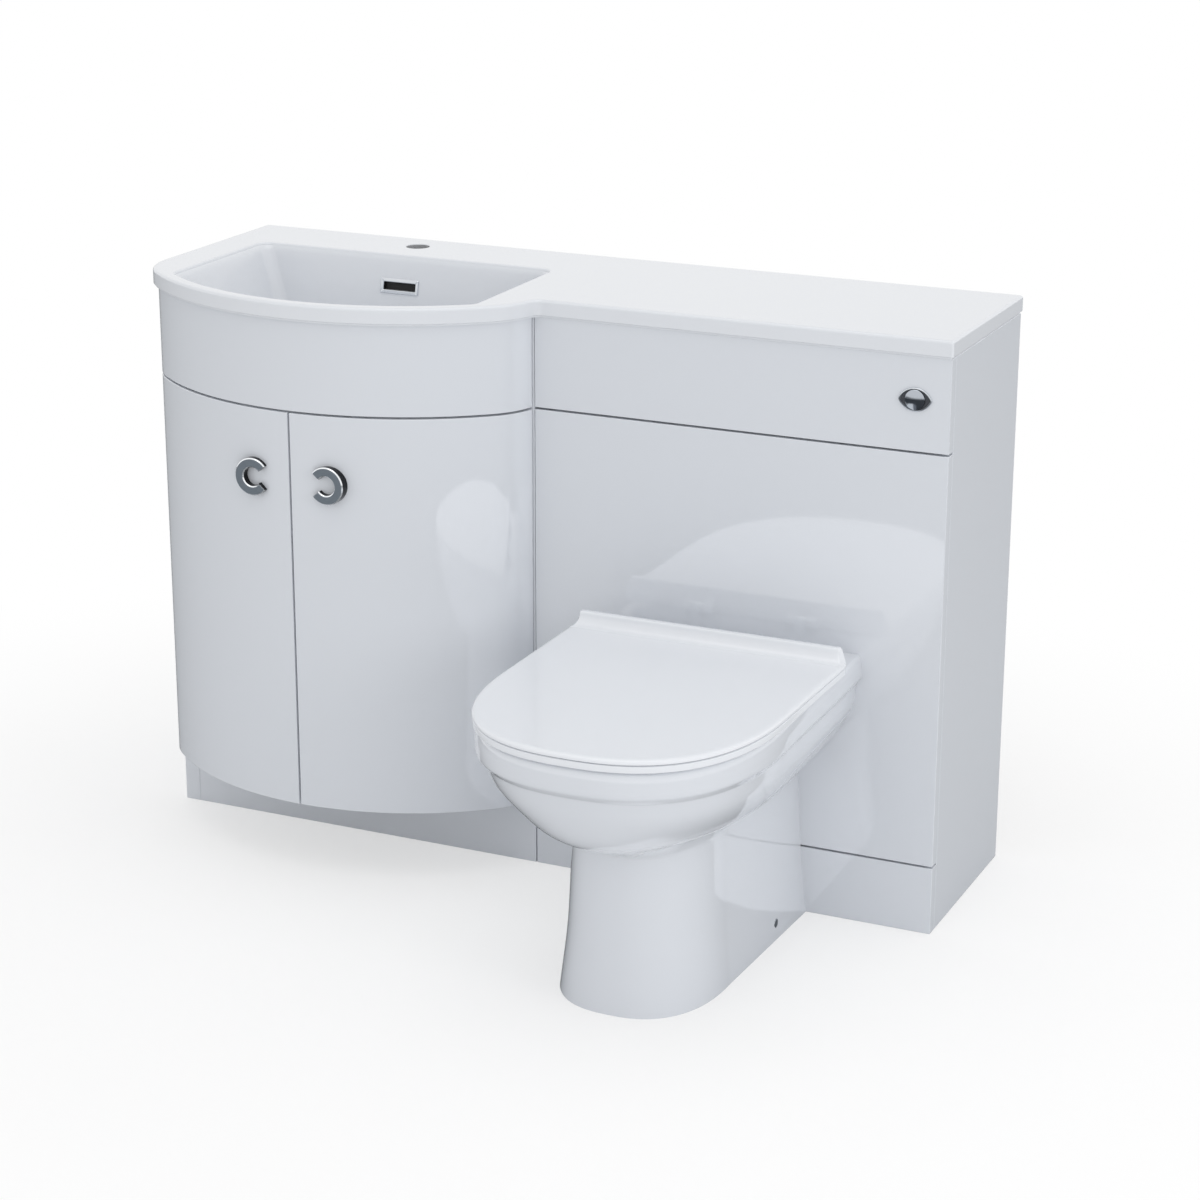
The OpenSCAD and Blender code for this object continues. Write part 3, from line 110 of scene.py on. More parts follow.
# Bowl. WASTE and TAP are x, y and radius
BOWL_W = 480.0
BOWL_BACK = 184.0
BOWL_FRONT_R = BOW_R + BOW_LIP - 20.0
BOWL_DEPTH = 115.0
BOWL_WALL = 8.0
BOWL_CORNER = 18.0
BOWL_LEAN = {"side": 66.0, "front": 92.0, "back": 34.0}
BOWL_RIM_ROUND = 3.5
BACK_STEPS = 8
WASTE = (BASIN_CX, 60.0, 22.5)
TAP = (BASIN_CX - 14.4, 251.8, 17.5)
OVERFLOW = {"x": BASIN_CX - 4.0, "z": 791.0, "w": 62.0, "h": 22.0, "rim": 5.0}

# Handles and the pins of the door hinges
HANDLE_Z = 583.0
HANDLE_TURN = degrees(59.0 / BOW_R)
HANDLE_T = 10.0
HANDLE_R = (13.5, 27.0)
HANDLE_BEVEL = 1.5
HANDLE_GAP = 78.0
SCREW_R = sum(HANDLE_R) / 2
HINGE_ZS = (180.0, 600.0)
PIN_R, PIN_TURN = 80.0, radians(74.6)

# Toilet pan, its trapway, its holes and the rays that its outline is laid on
PAN_X = 300.0
PAN_H = 391.0
PAN_HALF = 196.0
PAN_REACH = 545.0
FOOT_WALL = 14.0
TRAP_R, TRAP_WALL_R, TRAP_CLIMB = 30.0, 41.0, radians(15)
OUTLET_Z, OUTLET_BORE_R, OUTLET_R, SHOULDER_R, OUTLET_WALL_R = 180.0, 43.0, 51.0, 53.0, 54.0
INLET_Z, FLUSH_WAY_R, INLET_R, INLET_BOSS_R = 335.0, 22.0, 30.0, 38.0
SIDE_HOLE_Y, SIDE_HOLE_Z, SIDE_HOLE_R, DECK_HOLE_R = -101.0, 23.0, 6.5, 6.0
OVAL_POWER = 0.92
RAYS = 60
RAY_CENTRE = 240.0

# Seat and lid. AXIS is y and z of their hinge
SEAT_Z = 391.8
SEAT_T = 10.0
LID_Z = 402.4
LID_T = 7.0
LID_HALF = 199.0
LID_BACK = 80.0
LID_SHOULDER = 299.75
LID_CORNER = 12.0
LID_POWER = 2.45
COVE_R = 15.0
STRIP_ROUND = 16.0
AXIS = (-67.0, 403.0)
HINGE_X = 78.0
HINGE_XS = (PAN_X - HINGE_X, PAN_X + HINGE_X)
KNUCKLE_W = 14.0
KNUCKLE_R = 8.0
PIN_BORE_R = 4.05
PAD_ROOM_R = 7.1
EAR_STEP = KNUCKLE_W + 0.5

# Flush button: x and z of its middle, and its bezel, barrel and spring
BUTTON = (551.6, 753.0)
BUTTON_R = 13.75
BEZEL_W, BEZEL_H = 47.0, 32.5
BEZEL_R = (BEZEL_W ** 2 + BEZEL_H ** 2) / 4 / BEZEL_H
BORE_R = BUTTON_R + 0.1
BARREL_R = BUTTON_R + 1.9
SPRING_R, SPRING_WIRE_R, SPRING_TURNS = 9.0, 0.6, 6.0
SIDES = ((-1, "left"), (1, "right"))


def at(x, y, z):
    """A point of the part in the frame's metres."""
    return Vector((x, y + FACE_Y, z)) * MM


def flat(plan, z, shift=0.0):
    """Points of a plan at one height, moved along x by a shift."""
    return [at(shift + x, y, z) for x, y in plan]


def turn(angle, axis):
    """A rotation in degrees."""
    return Matrix.Rotation(radians(angle), 4, axis)


def spread(start, end, count):
    """Numbers with even steps between them, both ends included."""
    return [start + (end - start) * k / count for k in range(count + 1)]


def circle(radius, count):
    """Points round the origin."""
    turns = [2 * pi * k / count for k in range(count)]
    return [(radius * cos(t), radius * sin(t)) for t in turns]


def arc(cx, cy, r, start, end, count):
    """Points in plan along an arc, in degrees, both ends included."""
    return [(cx + r * cos(t), cy + r * sin(t)) for t in map(radians, spread(start, end, count))]


def quarter(radius, count):
    """Steps of a rounded edge: how far in and how far down each one lies."""
    return [(radius * (1 - sin(t)), radius * (1 - cos(t))) for t in map(radians, spread(0, 90, count))]


def swell(value, power):
    """A power that keeps the sign."""
    return copysign(abs(value) ** power, value)


def between(stations, value):
    """Smooth values at a place in a list of stations, with no overshoot. The first number is the place."""
    rows = sorted(stations)
    value = min(max(value, rows[0][0]), rows[-1][0])
    k = max(i for i in range(len(rows) - 1) if rows[i][0] <= value + 1e-12)
    span = rows[k + 1][0] - rows[k][0]
    t = (value - rows[k][0]) / span

    def slope(i, column):
        def rise(j):
            return (rows[j + 1][column] - rows[j][column]) / (rows[j + 1][0] - rows[j][0])

        if i == 0 or i == len(rows) - 1:
            return rise(min(i, len(rows) - 2))
        before, after = rise(i - 1), rise(i)
        return 0.0 if before * after <= 0 else 2 * before * after / (before + after)

    made = []
    for c in range(1, len(rows[0])):
        p, q = rows[k][c], rows[k + 1][c]
        a, b = slope(k, c) * span, slope(k + 1, c) * span
        made.append(
            (2 * t**3 - 3 * t**2 + 1) * p + (t**3 - 2 * t**2 + t) * a
            + (3 * t**2 - 2 * t**3) * q + (t**3 - t**2) * b
        )
    return made


# ---- node trees


class Wire:
    """An output socket. The usual operators on it add Math nodes."""

    def __init__(self, graph, socket):
        self.graph, self.socket = graph, socket

    def maths(self, operation, *values):
        return self.graph.node("ShaderNodeMath", values, operation=operation)

    def over(self, low, high):
        """0 under low, 1 over high, and a smooth step between them."""
        return self.graph.node("MapRange", [self, low, high, 0.0, 1.0], interpolation_type="SMOOTHSTEP")


for sign, operation in (("add", "ADD"), ("sub", "SUBTRACT"), ("mul", "MULTIPLY"), ("pow", "POWER")):
    setattr(Wire, f"__{sign}__", lambda self, other, kind=operation: self.maths(kind, self, other))
    setattr(Wire, f"__r{sign}__", lambda self, other, kind=operation: self.maths(kind, other, self))


class Graph:
    """A node tree, with one way to add any node: its type, its sockets, the output that counts, its settings."""

    family = "ShaderNode"

    def __init__(self, tree):
        self.tree = tree
        tree.nodes.clear()

    def node(self, kind, sockets=(), out=0, **settings):
        made = self.tree.nodes.new(kind if "Node" in kind else self.family + kind)
        for key, value in settings.items():
            setattr(made, key, value)
        for key, value in sockets.items() if isinstance(sockets, dict) else enumerate(sockets):
            if isinstance(value, Wire):
                self.tree.links.new(value.socket, made.inputs[key])
            else:
                made.inputs[key].default_value = value
        return Wire(self, made.outputs[out]) if made.outputs else None

    def rays(self, *kinds):
        """Outputs of one Light Path node."""
        outputs = self.node("LightPath").socket.node.outputs
        return [Wire(self, outputs[f"Is {kind} Ray"]) for kind in kinds]


class Finish(Graph):
    """A material and what its maps have in common."""

    def __init__(self, name):
        self.material = bpy.data.materials.new(name)
        self.material.use_nodes = True
        super().__init__(self.material.node_tree)
        self.place = self.node("TexCoord", out="Object")

    def grain(self, scale, detail=2.0, rough=0.5, stretch=None):
        """Noise of so many features to the metre, drawn out along an axis by stretch."""
        place = self.place
        if stretch:
            place = self.node("Mapping", {"Vector": place, "Scale": stretch})
        return self.node(
            "TexNoise", {"Vector": place, "Scale": scale, "Detail": detail, "Roughness": rough}
        )

    def facing(self, *axis):
        """How far the surface faces along an axis: 1 straight at it, 0 square to it."""
        normal = self.node("TexCoord", out="Normal")
        return self.node("VectorMath", [normal, axis], "Value", operation="DOT_PRODUCT")

    def blend(self, share, low, high):
        """A colour that goes from low to high. Each is a link or sRGB numbers from 0 to 1."""
        return self.node("Mix", {0: share, 6: paint(low), 7: paint(high)}, 2, data_type="RGBA")

    def relief(self, height, strength, depth):
        return self.node("Bump", {"Strength": strength, "Distance": depth, "Height": height})

    def surface(self, colour, rough, normal, **constants):
        """The finished shader: its maps, and what is the same all over."""
        names = {key.replace("_", " ").title().replace("Ior", "IOR"): v for key, v in constants.items()}
        maps = {"Base Color": colour, "Roughness": rough, "Normal": normal}
        self.node("OutputMaterial", [self.node("BsdfPrincipled", {**names, **maps})])
        return self.material


def paint(colour):
    """An sRGB colour as the renderer takes it, or a link as it is."""
    if isinstance(colour, Wire):
        return colour
    return tuple(c / 12.92 if c <= 0.04045 else ((c + 0.055) / 1.055) ** 2.4 for c in colour) + (1.0,)


class Recipe(Graph):
    """A Geometry Nodes tree with named sizes."""

    family = "GeometryNode"

    def __init__(self, name, **sizes):
        super().__init__(bpy.data.node_groups.new(name, "GeometryNodeTree"))
        face = self.tree.interface
        face.new_socket("Geometry", in_out="INPUT", socket_type="NodeSocketGeometry")
        kinds = {float: "Float", str: "Material", type(None): "Object"}
        for label, size in sizes.items():
            made = face.new_socket(label, in_out="INPUT", socket_type="NodeSocket" + kinds[type(size)])
            if isinstance(size, float):
                made.default_value = size
        face.new_socket("Geometry", in_out="OUTPUT", socket_type="NodeSocketGeometry")
        self.inputs = self.tree.nodes.new("NodeGroupInput")

    def size(self, label):
        return Wire(self, self.inputs.outputs[label])

    def swept(self, line, section):
        """A section carried along a line, with its ends closed."""
        return self.node("CurveToMesh", {"Curve": line, "Profile Curve": section, "Fill Caps": True})

    def close(self, geometry):
        """Ends the tree in Realize Instances and Set Material."""
        solid = self.node("RealizeInstances", [geometry])
        dressed = self.node("SetMaterial", {"Geometry": solid, "Material": self.size("Finish")})
        self.node("NodeGroupOutput", [dressed])
        return self

    def make(self, name, mesh, matrix=Matrix.Identity(4), **values):
        """Runs the recipe on a mesh. The result is a plain object, moved into place."""
        worked = placed(name + "_recipe", mesh)
        step = worked.modifiers.new("recipe", "NODES")
        step.node_group = self.tree
        for item in self.tree.interface.items_tree:
            if item.name in values and item.in_out == "INPUT":
                step[item.identifier] = values[item.name]
        return outward(plain(worked, name), matrix)


# ---- meshes


def placed(name, data):
    """A new object in the scene."""
    made = bpy.data.objects.new(name, data)
    bpy.context.scene.collection.objects.link(made)
    return made


def plain(worked, name):
    """The evaluated object as a plain mesh under its own name. The worked one is removed."""
    bpy.context.view_layer.update()
    seen = worked.evaluated_get(bpy.context.evaluated_depsgraph_get())
    mesh = bpy.data.meshes.new_from_object(seen)
    bpy.data.objects.remove(worked)
    mesh.name = name
    return placed(name, mesh)


def modified(obj, kind, **settings):
    """The object with a modifier worked into its mesh."""
    step = obj.modifiers.new("step", kind)
    for key, value in settings.items():
        setattr(step, key, value)
    return plain(obj, obj.name)


def as_object(name, bm):
    """An object from a bmesh, which is freed."""
    mesh = bpy.data.meshes.new(name)
    bm.to_mesh(mesh)
    bm.free()
    return placed(name, mesh)


def outward(obj, matrix=Matrix.Identity(4)):
    """The object with its mesh moved into place and its normals turned outwards."""
    bm = bmesh.new()
    bm.from_mesh(obj.data)
    bmesh.ops.remove_doubles(bm, verts=bm.verts, dist=1e-7)
    bmesh.ops.transform(bm, matrix=matrix, verts=bm.verts)
    bmesh.ops.recalc_face_normals(bm, faces=bm.faces)
    bm.to_mesh(obj.data)
    bm.free()
    return obj


def wires(name, points, closed=False):
    """A mesh of edges through points in metres, back to the first one where it is closed."""
    mesh, count = bpy.data.meshes.new(name), len(points)
    mesh.from_pydata(points, [(k, (k + 1) % count) for k in range(count - 1 + closed)], [])
    return mesh


def solid(name, build):
    """An object from a function that fills a bmesh. Its faces are turned outwards."""
    bm = bmesh.new()
    build(bm)
    bmesh.ops.remove_doubles(bm, verts=bm.verts, dist=1e-6)
    bmesh.ops.recalc_face_normals(bm, faces=bm.faces)
    return as_object(name, bm)


def ring(bm, points):
    return [bm.verts.new(p) for p in points]


def skin(bm, rings, caps=()):
    """Faces between neighbouring rings of equally many points, and a flat face over each ring in caps."""
    for low, high in zip(rings, rings[1:]):
        for k in range(len(low)):
            n = (k + 1) % len(low)
            bm.faces.new((low[k], low[n], high[n], high[k]))
    for end in caps:
        bm.faces.new(rings[end])


def lofted(name, loops, hollow=False):
    """A closed solid through loops of points: with flat ends, or back to its first loop where it is hollow."""
    def build(bm):
        rings = [ring(bm, loop) for loop in loops]
        skin(bm, rings + rings[:1] if hollow else rings, () if hollow else (0, -1))

    return solid(name, build)


def fill(bm, *loops):
    """A flat face between closed loops: the first is the outside, the others are holes."""
    edges = []
    for loop in loops:
        for k, vert in enumerate(loop):
            other = loop[(k + 1) % len(loop)]
            edges.append(bm.edges.get((vert, other)) or bm.edges.new((vert, other)))
    bmesh.ops.triangle_fill(bm, edges=edges, use_beauty=True, use_dissolve=False)


def carved(obj, *cutters, operation="DIFFERENCE"):
    """obj with closed cutters taken away one by one, or added with UNION."""
    for cutter in cutters:
        obj = modified(obj, "BOOLEAN", operation=operation, solver="EXACT", object=cutter)
        bpy.data.objects.remove(cutter)
    return obj


def united(obj, *parts):
    return carved(obj, *parts, operation="UNION")


def rod(name, start, end, radius, count=48):
    """A closed round bar between two points of the part."""
    p, q = at(*start), at(*end)
    along = (q - p).normalized()
    side = along.orthogonal().normalized()
    over = along.cross(side)
    return lofted(name, [
        [centre + (side * c + over * s) * radius * MM for c, s in circle(1, count)] for centre in (p, q)
    ])


def block(name, low, high):
    """A closed block between two corners of the part."""
    (x0, y0, z0), (x1, y1, z1) = low, high
    return lofted(name, [flat([(x0, y0), (x1, y0), (x1, y1), (x0, y1)], z) for z in (z0, z1)])


def eased(obj, radius, steps=3, angle=32.0):
    """The object with its edges rounded."""
    return modified(
        obj, "BEVEL", width=radius * MM, segments=steps, limit_method="ANGLE", angle_limit=radians(angle),
        miter_outer="MITER_ARC",
    )


def from_node(node, name):
    """A copy of a CAD node with its triangles merged into faces."""
    bm = bmesh.new()
    bm.from_mesh(frame["nodes"][node].data)
    bmesh.ops.remove_doubles(bm, verts=bm.verts, dist=2e-6)
    bmesh.ops.dissolve_limit(
        bm, angle_limit=radians(0.4), verts=bm.verts, edges=bm.edges, use_dissolve_boundaries=False
    )
    return as_object(name, bm)


def joined(name, *parts):
    """Several solids as one object."""
    bm = bmesh.new()
    for part in parts:
        bm.from_mesh(part.data)
        bpy.data.objects.remove(part)
    return as_object(name, bm)


def dressed(obj, *finishes, second):
    """Gives each face the first finish, or the second where the function second says so."""
    for finish in finishes:
        obj.data.materials.append(finish)
    for face in obj.data.polygons:
        face.material_index = int(second(face))
    return obj


def finished(obj, node, finish=None, crease=38.0, keep_finish=False, flat_faces=True):
    """Shades a piece, which takes its node's place and body, and the finish of its node's slot unless it has another.
    """
    slot = SLOT_OF[node]
    if not keep_finish:
        obj.data.materials.clear()
        obj.data.materials.append(finish or BY_SLOT[slot])
    for face in obj.data.polygons:
        face.use_smooth = True
    obj.data.set_sharp_from_angle(angle=radians(crease))
    if flat_faces:
        obj = modified(obj, "WEIGHTED_NORMAL", keep_sharp=True, weight=50, mode="FACE_AREA")
    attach(obj, BODY_OF.get(node, "root"))
    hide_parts(node)
    return obj


# ---- finishes


def lacquer():
    """Mirror-gloss paint on board: a faint orange peel and a breath of haze."""
    f = Finish("gloss_lacquer")
    peel, haze, tone = f.grain(380, 1.0), f.grain(4.0, 4.0), f.grain(1.3, 2.0)
    return f.surface(
        f.blend(tone, (0.846, 0.860, 0.884), (0.858, 0.872, 0.894)), 0.035 + haze * 0.03,
        f.relief(peel, 0.05, 0.0001), ior=2.0, coat_weight=0.25, coat_roughness=0.02,
    )


def cast_resin():
    """White gel coat over cast resin, with a soft cloud and a few fine pores."""
    f = Finish("cast_resin")
    cloud, pore = f.grain(5.0, 5.0, 0.6), f.grain(900, 2.0)
    dots = pore.over(0.68, 0.74)
    base = f.blend(cloud, (0.846, 0.858, 0.878), (0.862, 0.873, 0.891))
    return f.surface(
        f.blend(dots * 0.25, base, (0.77, 0.78, 0.80)), 0.16 + cloud * 0.06 + dots * 0.1,
        f.relief(f.grain(60, 2.0) - dots * 0.4, 0.06, 0.0002), ior=1.5, coat_weight=0.35, coat_roughness=0.08,
    )


def glaze():
    """Vitreous glaze: slow ripples where it ran in the kiln, and rare pinholes."""
    f = Finish("white_glaze")
    ripple, tone, speck = f.grain(16, 2.0), f.grain(3.0, 3.0), f.grain(520, 1.0)
    pits = speck.over(0.74, 0.78)
    base = f.blend(tone, (0.836, 0.850, 0.874), (0.852, 0.865, 0.887))
    return f.surface(
        f.blend(pits * 0.3, base, (0.72, 0.73, 0.75)), 0.09 + tone * 0.04 + pits * 0.2,
        f.relief(ripple, 0.04, 0.0004), ior=1.52, coat_weight=0.8, coat_roughness=0.03,
    )


def moulded_gloss():
    """Pressed gloss plastic of the seat and lid, with a faint flow and rubbed patches."""
    f = Finish("seat_moulding")
    flow, rub, fine = f.grain(7.0, 3.0, 0.6, (1.0, 0.35, 1.0)), f.grain(22, 4.0), f.grain(700, 1.0)
    return f.surface(
        f.blend(flow, (0.880, 0.892, 0.912), (0.894, 0.904, 0.920)), 0.13 + rub * 0.07,
        f.relief(fine * 0.5 + flow, 0.05, 0.0001), ior=1.49, coat_weight=0.4, coat_roughness=0.05,
    )


def handle_nickel():
    """Polished dark nickel with painted light: a grey face, a painted highlight on the bevel and painted shade on the
    sides.
    """
    f = Finish("handle_nickel")
    out = f.facing(0.0, -1.0, 0.0)
    scratch = f.grain(240, 3.0, 0.6, (1.0, 1.0, 9.0))
    # Painted highlight and shade: the bevel next to the face is painted near white, the sides near black.
    face, side = out.over(0.93, 0.985), 1.0 - out.over(0.12, 0.45)
    base = f.blend(face, (0.96, 0.97, 0.98), (0.64, 0.68, 0.72))
    return f.surface(
        f.blend(side, base, (0.10, 0.11, 0.13)), 0.12 + face * 0.16 + scratch * 0.08,
        f.relief(scratch, 0.04, 0.00005), metallic=0.85,
    )


def polished_chrome():
    """Bright chrome plate with fine wiping marks."""
    f = Finish("bright_chrome")
    wipe, spot = f.grain(160, 4.0, 0.6, (1.0, 1.0, 6.0)), f.grain(35, 3.0)
    return f.surface(
        f.blend(spot, (0.80, 0.82, 0.84), (0.86, 0.87, 0.89)), 0.05 + wipe * 0.07,
        f.relief(wipe, 0.03, 0.00004), metallic=1.0,
    )


def button_chrome():
    """Chrome of the dome with a painted reflection: a bright painted sky above, a painted dark band at its waist, a
    soft painted patch below.
    """
    f = Finish("button_chrome")
    up, across, rough = f.facing(0.0, 0.0, 1.0), f.facing(1.0, 0.0, 0.0), f.grain(150, 3.0)
    # Painted reflection: colour set by which way the surface faces, light on top, dark at the waist, light low on one
    # side.
    sky = (up + rough * 0.02).over(0.035, 0.075)
    painted_reflection_patch = (0.0 - up).over(0.12, 0.2) * (0.0 - across).over(-0.02, 0.08)
    base = f.blend(sky, (0.42, 0.44, 0.47), (0.72, 0.74, 0.77))
    return f.surface(
        f.blend(painted_reflection_patch * 0.8, base, (0.86, 0.88, 0.90)), 0.14 + rough * 0.06,
        f.relief(rough, 0.03, 0.00004), metallic=1.0,
    )


def zinc_plate():
    """Zinc-plated steel: blue-grey spangle and rolled streaks."""
    f = Finish("zinc_steel")
    cells = f.node("TexVoronoi", {"Vector": f.place, "Scale": 260.0}, "Color")
    cell, streak = f.node("SeparateColor", [cells]), f.grain(300, 3.0, 0.6, (1.0, 1.0, 0.08))
    return f.surface(
        f.blend(cell * 0.5 + streak * 0.5, (0.58, 0.60, 0.62), (0.76, 0.77, 0.78)), 0.28 + streak * 0.2,
        f.relief(streak, 0.15, 0.0001), metallic=1.0,
    )


def melamine():
    """White melamine of the carcass: a fine pearl texture and a slight tone."""
    f = Finish("carcass_melamine")
    pearl, tone, dust = f.grain(1400, 2.0), f.grain(2.2, 3.0), f.grain(45, 5.0, 0.7)
    return f.surface(
        f.blend(tone, (0.80, 0.81, 0.82), (0.84, 0.845, 0.85)), 0.42 + dust * 0.14,
        f.relief(pearl, 0.18, 0.0002), ior=1.45,
    )


def plastic(name, low, high, rough, texture):
    """Moulded plastic: spark-eroded texture and faint flow lines."""
    f = Finish(name)
    spark, flow = f.grain(texture, 2.0), f.grain(9.0, 3.0, 0.6, (0.3, 1.0, 1.0))
    return f.surface(f.blend(flow, low, high), rough + spark * 0.12, f.relief(spark, 0.2, 0.0002), ior=1.48)


LACQUER = lacquer()
RESIN = cast_resin()
# Painted shade: the wall of the tap hole is painted grey, where it lies in shade.
TAP_HOLE_SHADE = plastic("drilled_resin", (0.60, 0.605, 0.615), (0.70, 0.705, 0.715), 0.6, 700)
CHROME = polished_chrome()
PAINTED_LIGHT_NICKEL = handle_nickel()
ZINC = zinc_plate()
CISTERN = plastic("cistern_moulding", (0.84, 0.85, 0.86), (0.88, 0.885, 0.89), 0.38, 1100)
BY_SLOT = {
    "cabinet_gloss": LACQUER, "worktop_resin": RESIN, "pan_ceramic": glaze(), "seat_plastic": moulded_gloss(),
    "dark_chrome": PAINTED_LIGHT_NICKEL, "bright_chrome": CHROME, "zinc_steel": ZINC, "carcass_white": melamine(),
    "cistern_plastic": CISTERN,
    "valve_plastic": plastic("valve_moulding", (0.52, 0.55, 0.59), (0.58, 0.61, 0.65), 0.36, 900),
    "black_rubber": plastic("black_rubber", (0.07, 0.07, 0.08), (0.12, 0.12, 0.13), 0.62, 1600),
}
SLOT_OF = {row["node"]: row["material_slot"] for row in frame["record"]["subparts"]}
BODY_OF = {n: body for body, members in frame["record"]["behaviour"]["bodies"].items() for n in members}

# ---- worktop and bowl


def worktop_loop(inset):
    """Outline of the worktop, pulled in by an inset, always with the same number of points."""
    front = -FRONT_LIP + inset
    fillet = CORNER_FILLET + inset
    end_x = BASIN_CX + BOW_END_X
    small = BOW_END_R + BOW_LIP - inset
    fillet_y = front - fillet
    drop = fillet_y - BOW_END_Y
    fillet_x = end_x + sqrt((small + fillet) ** 2 - drop**2)
    touch = degrees(atan2(drop, fillet_x - end_x))
    right, back = WORKTOP_RIGHT - inset, CAB_D - min(inset, 0.8)
    nose, wall_nose = max(3.0 - inset, 0.2), 1.0
    left = BASIN_CX - BOW_HALF - BOW_LIP + inset
    return (
        arc(BASIN_CX - BOW_END_X, BOW_END_Y, small, 180, 180 + BOW_TURN, 18)
        + arc(BASIN_CX, BOW_CY, BOW_R + BOW_LIP - inset, 180 + BOW_TURN, 360 - BOW_TURN, 72)[1:]
        + arc(end_x, BOW_END_Y, small, -BOW_TURN, touch, 14)[1:]
        + arc(fillet_x, fillet_y, fillet, 180 + touch, 90, 12)[1:]
        + arc(right - nose, front + nose, nose, -90, 0, 5)
        + arc(right - wall_nose, back - wall_nose, wall_nose, 0, 90, 3)
        + arc(left + wall_nose, back - wall_nose, wall_nose, 90, 180, 3)
    )


BOWL_STATIONS = [(0, 0), (0.03, 0.05), (0.30, 0.24), (0.62, 0.47), (0.86, 0.66), (0.96, 0.82), (1, 1)]
SLOT_X, SLOT_Z = (
    [OVERFLOW[middle] + side * (OVERFLOW[length] / 2 - OVERFLOW["rim"]) for side in (1, -1)]
    for middle, length in (("x", "w"), ("z", "h"))
)


def bowl_loop(lean, grow):
    """Outline of the bowl for a share of its lean, grown outwards. It starts at the back right."""
    half = BOWL_W / 2 - lean * BOWL_LEAN["side"] + grow
    big = BOWL_FRONT_R - lean * BOWL_LEAN["front"] + grow
    back = BOWL_BACK - lean * BOWL_LEAN["back"] + grow
    r = BOWL_CORNER + 0.6 * grow
    nook_y = BOW_CY - sqrt((big - r) ** 2 - (half - r) ** 2)
    bend = degrees(atan2(BOW_CY - nook_y, half - r))
    left, right = BASIN_CX - half, BASIN_CX + half
    line = spread(right - r, SLOT_X[0], BACK_STEPS) + spread(SLOT_X[1], left + r, BACK_STEPS)
    return (
        [(x, back) for x in line]
        + arc(left + r, back - r, r, 90, 180, 8)[1:]
        + [(left, y) for y in spread(back - r, nook_y, 5)[1:-1]]
        + arc(left + r, nook_y, r, 180, 180 + bend, 7)
        + arc(BASIN_CX, BOW_CY, big, 180 + bend, 360 - bend, 40)[1:]
        + arc(right - r, nook_y, r, -bend, 0, 7)[1:]
        + [(right, y) for y in spread(nook_y, back - r, 5)[1:-1]]
        + arc(right - r, back - r, r, 0, 90, 8)[:-1]
    )


def to_waste(loop, r, share):
    """A loop drawn in towards a circle round the waste hole by a share from 0 to 1."""
    cx, cy, _ = WASTE
    made = []
    for x, y in loop:
        d = hypot(x - cx, y - cy)
        made.append((x + (cx + (x - cx) * r / d - x) * share, y + (cy + (y - cy) * r / d - y) * share))
    return made


def worktop(bm):
    def level(loop, z):
        return ring(bm, flat(loop, z))

    def wall(share, grow, depth):
        return level(bowl_loop(between(BOWL_STATIONS, share)[0], grow), TOP_Z - share * depth)

    # Outer edge: rounded over at the top, a small arris and the step underneath
    low = CAB_H + EDGE_STEP
    edge = [level(worktop_loop(inset), z) for inset, z in (
        (TOP_ROUND + 3, TOP_Z), *((inset, TOP_Z - drop) for inset, drop in quarter(TOP_ROUND, 6)),
        (0, low + 1), (0.3, low + 0.3), (1, low), (EDGE_STEP - 0.6, low), (EDGE_STEP, low - 0.6), (EDGE_STEP, CAB_H),
    )]
    skin(bm, edge)

    # Inside of the bowl: rounded lip, walls, floor, waste hole
    bowl = [level(bowl_loop(0, BOWL_RIM_ROUND + 2), TOP_Z)]
    bowl += [level(bowl_loop(0, grow), TOP_Z - drop) for grow, drop in quarter(BOWL_RIM_ROUND, 5)]
    above = [0.05, 0.09, 0.14, 0.20, 0.26]
    slot_top = len(bowl) + len(above)
    bowl += [wall(share, 0, BOWL_DEPTH) for share in above + [(TOP_Z - z) / BOWL_DEPTH for z in SLOT_Z] + [
        0.52, 0.62, 0.72, 0.80, 0.86, 0.90, 0.93, 0.955, 0.975, 0.99, 1.0,
    ]]
    floor = bowl_loop(1.0, 0)
    for r, share, drop in [(30, s, 1.2 * s) for s in (0.06, 0.15, 0.3, 0.5, 0.7, 0.85)] + [
        (30, 1.0, 1.6), (26, 1.0, 2.6), (24, 1.0, 4.0), (WASTE[2], 1.0, 7.0), (WASTE[2], 1.0, 18.0),
    ]:
        bowl.append(level(to_waste(floor, r, share), TOP_Z - BOWL_DEPTH - drop))
    skin(bm, bowl)

    # Slot of the overflow in the back wall
    top, bottom, left = bowl[slot_top], bowl[slot_top + 1], BACK_STEPS
    corners = [top[left], top[left + 1], bottom[left + 1], bottom[left]]
    gone = [f for f in corners[0].link_faces if all(v in f.verts for v in corners)]
    bmesh.ops.delete(bm, geom=gone, context="FACES_ONLY")
    deep = ring(bm, [Vector((v.co.x, at(0, BOWL_BACK + 6, 0).y, v.co.z)) for v in corners])
    skin(bm, [corners, deep], (-1,))

    # Tap hole, underside of the bowl and the boss of the waste
    tap_top, tap_lip, tap_low = (
        level(arc(TAP[0], TAP[1], TAP[2] + grow, 0, 360, 40)[:-1], z)
        for grow, z in ((0, TOP_Z - 1), (1, TOP_Z), (0, CAB_H))
    )
    skin(bm, [tap_lip, tap_top, tap_low])
    depth = BOWL_DEPTH + BOWL_WALL
    under = [
        wall(share, BOWL_WALL, depth)
        for share in ((TOP_Z - CAB_H) / depth, 0.30, 0.45, 0.62, 0.76, 0.86, 0.92, 0.96, 0.985, 1.0)
    ]
    sole = bowl_loop(1.0, BOWL_WALL)
    for r, share, drop in (
        (34.5, 0.2, 0), (34.5, 0.5, 0), (34.5, 0.8, 0), (34.5, 1.0, 0), (34.5, 1.0, 9), (33, 1.0, 10),
    ):
        under.append(level(to_waste(sole, r, share), TOP_Z - depth - drop))
    skin(bm, under + bowl[-1:])
    fill(bm, edge[0], bowl[0], tap_lip)
    fill(bm, edge[-1], under[0], tap_low)


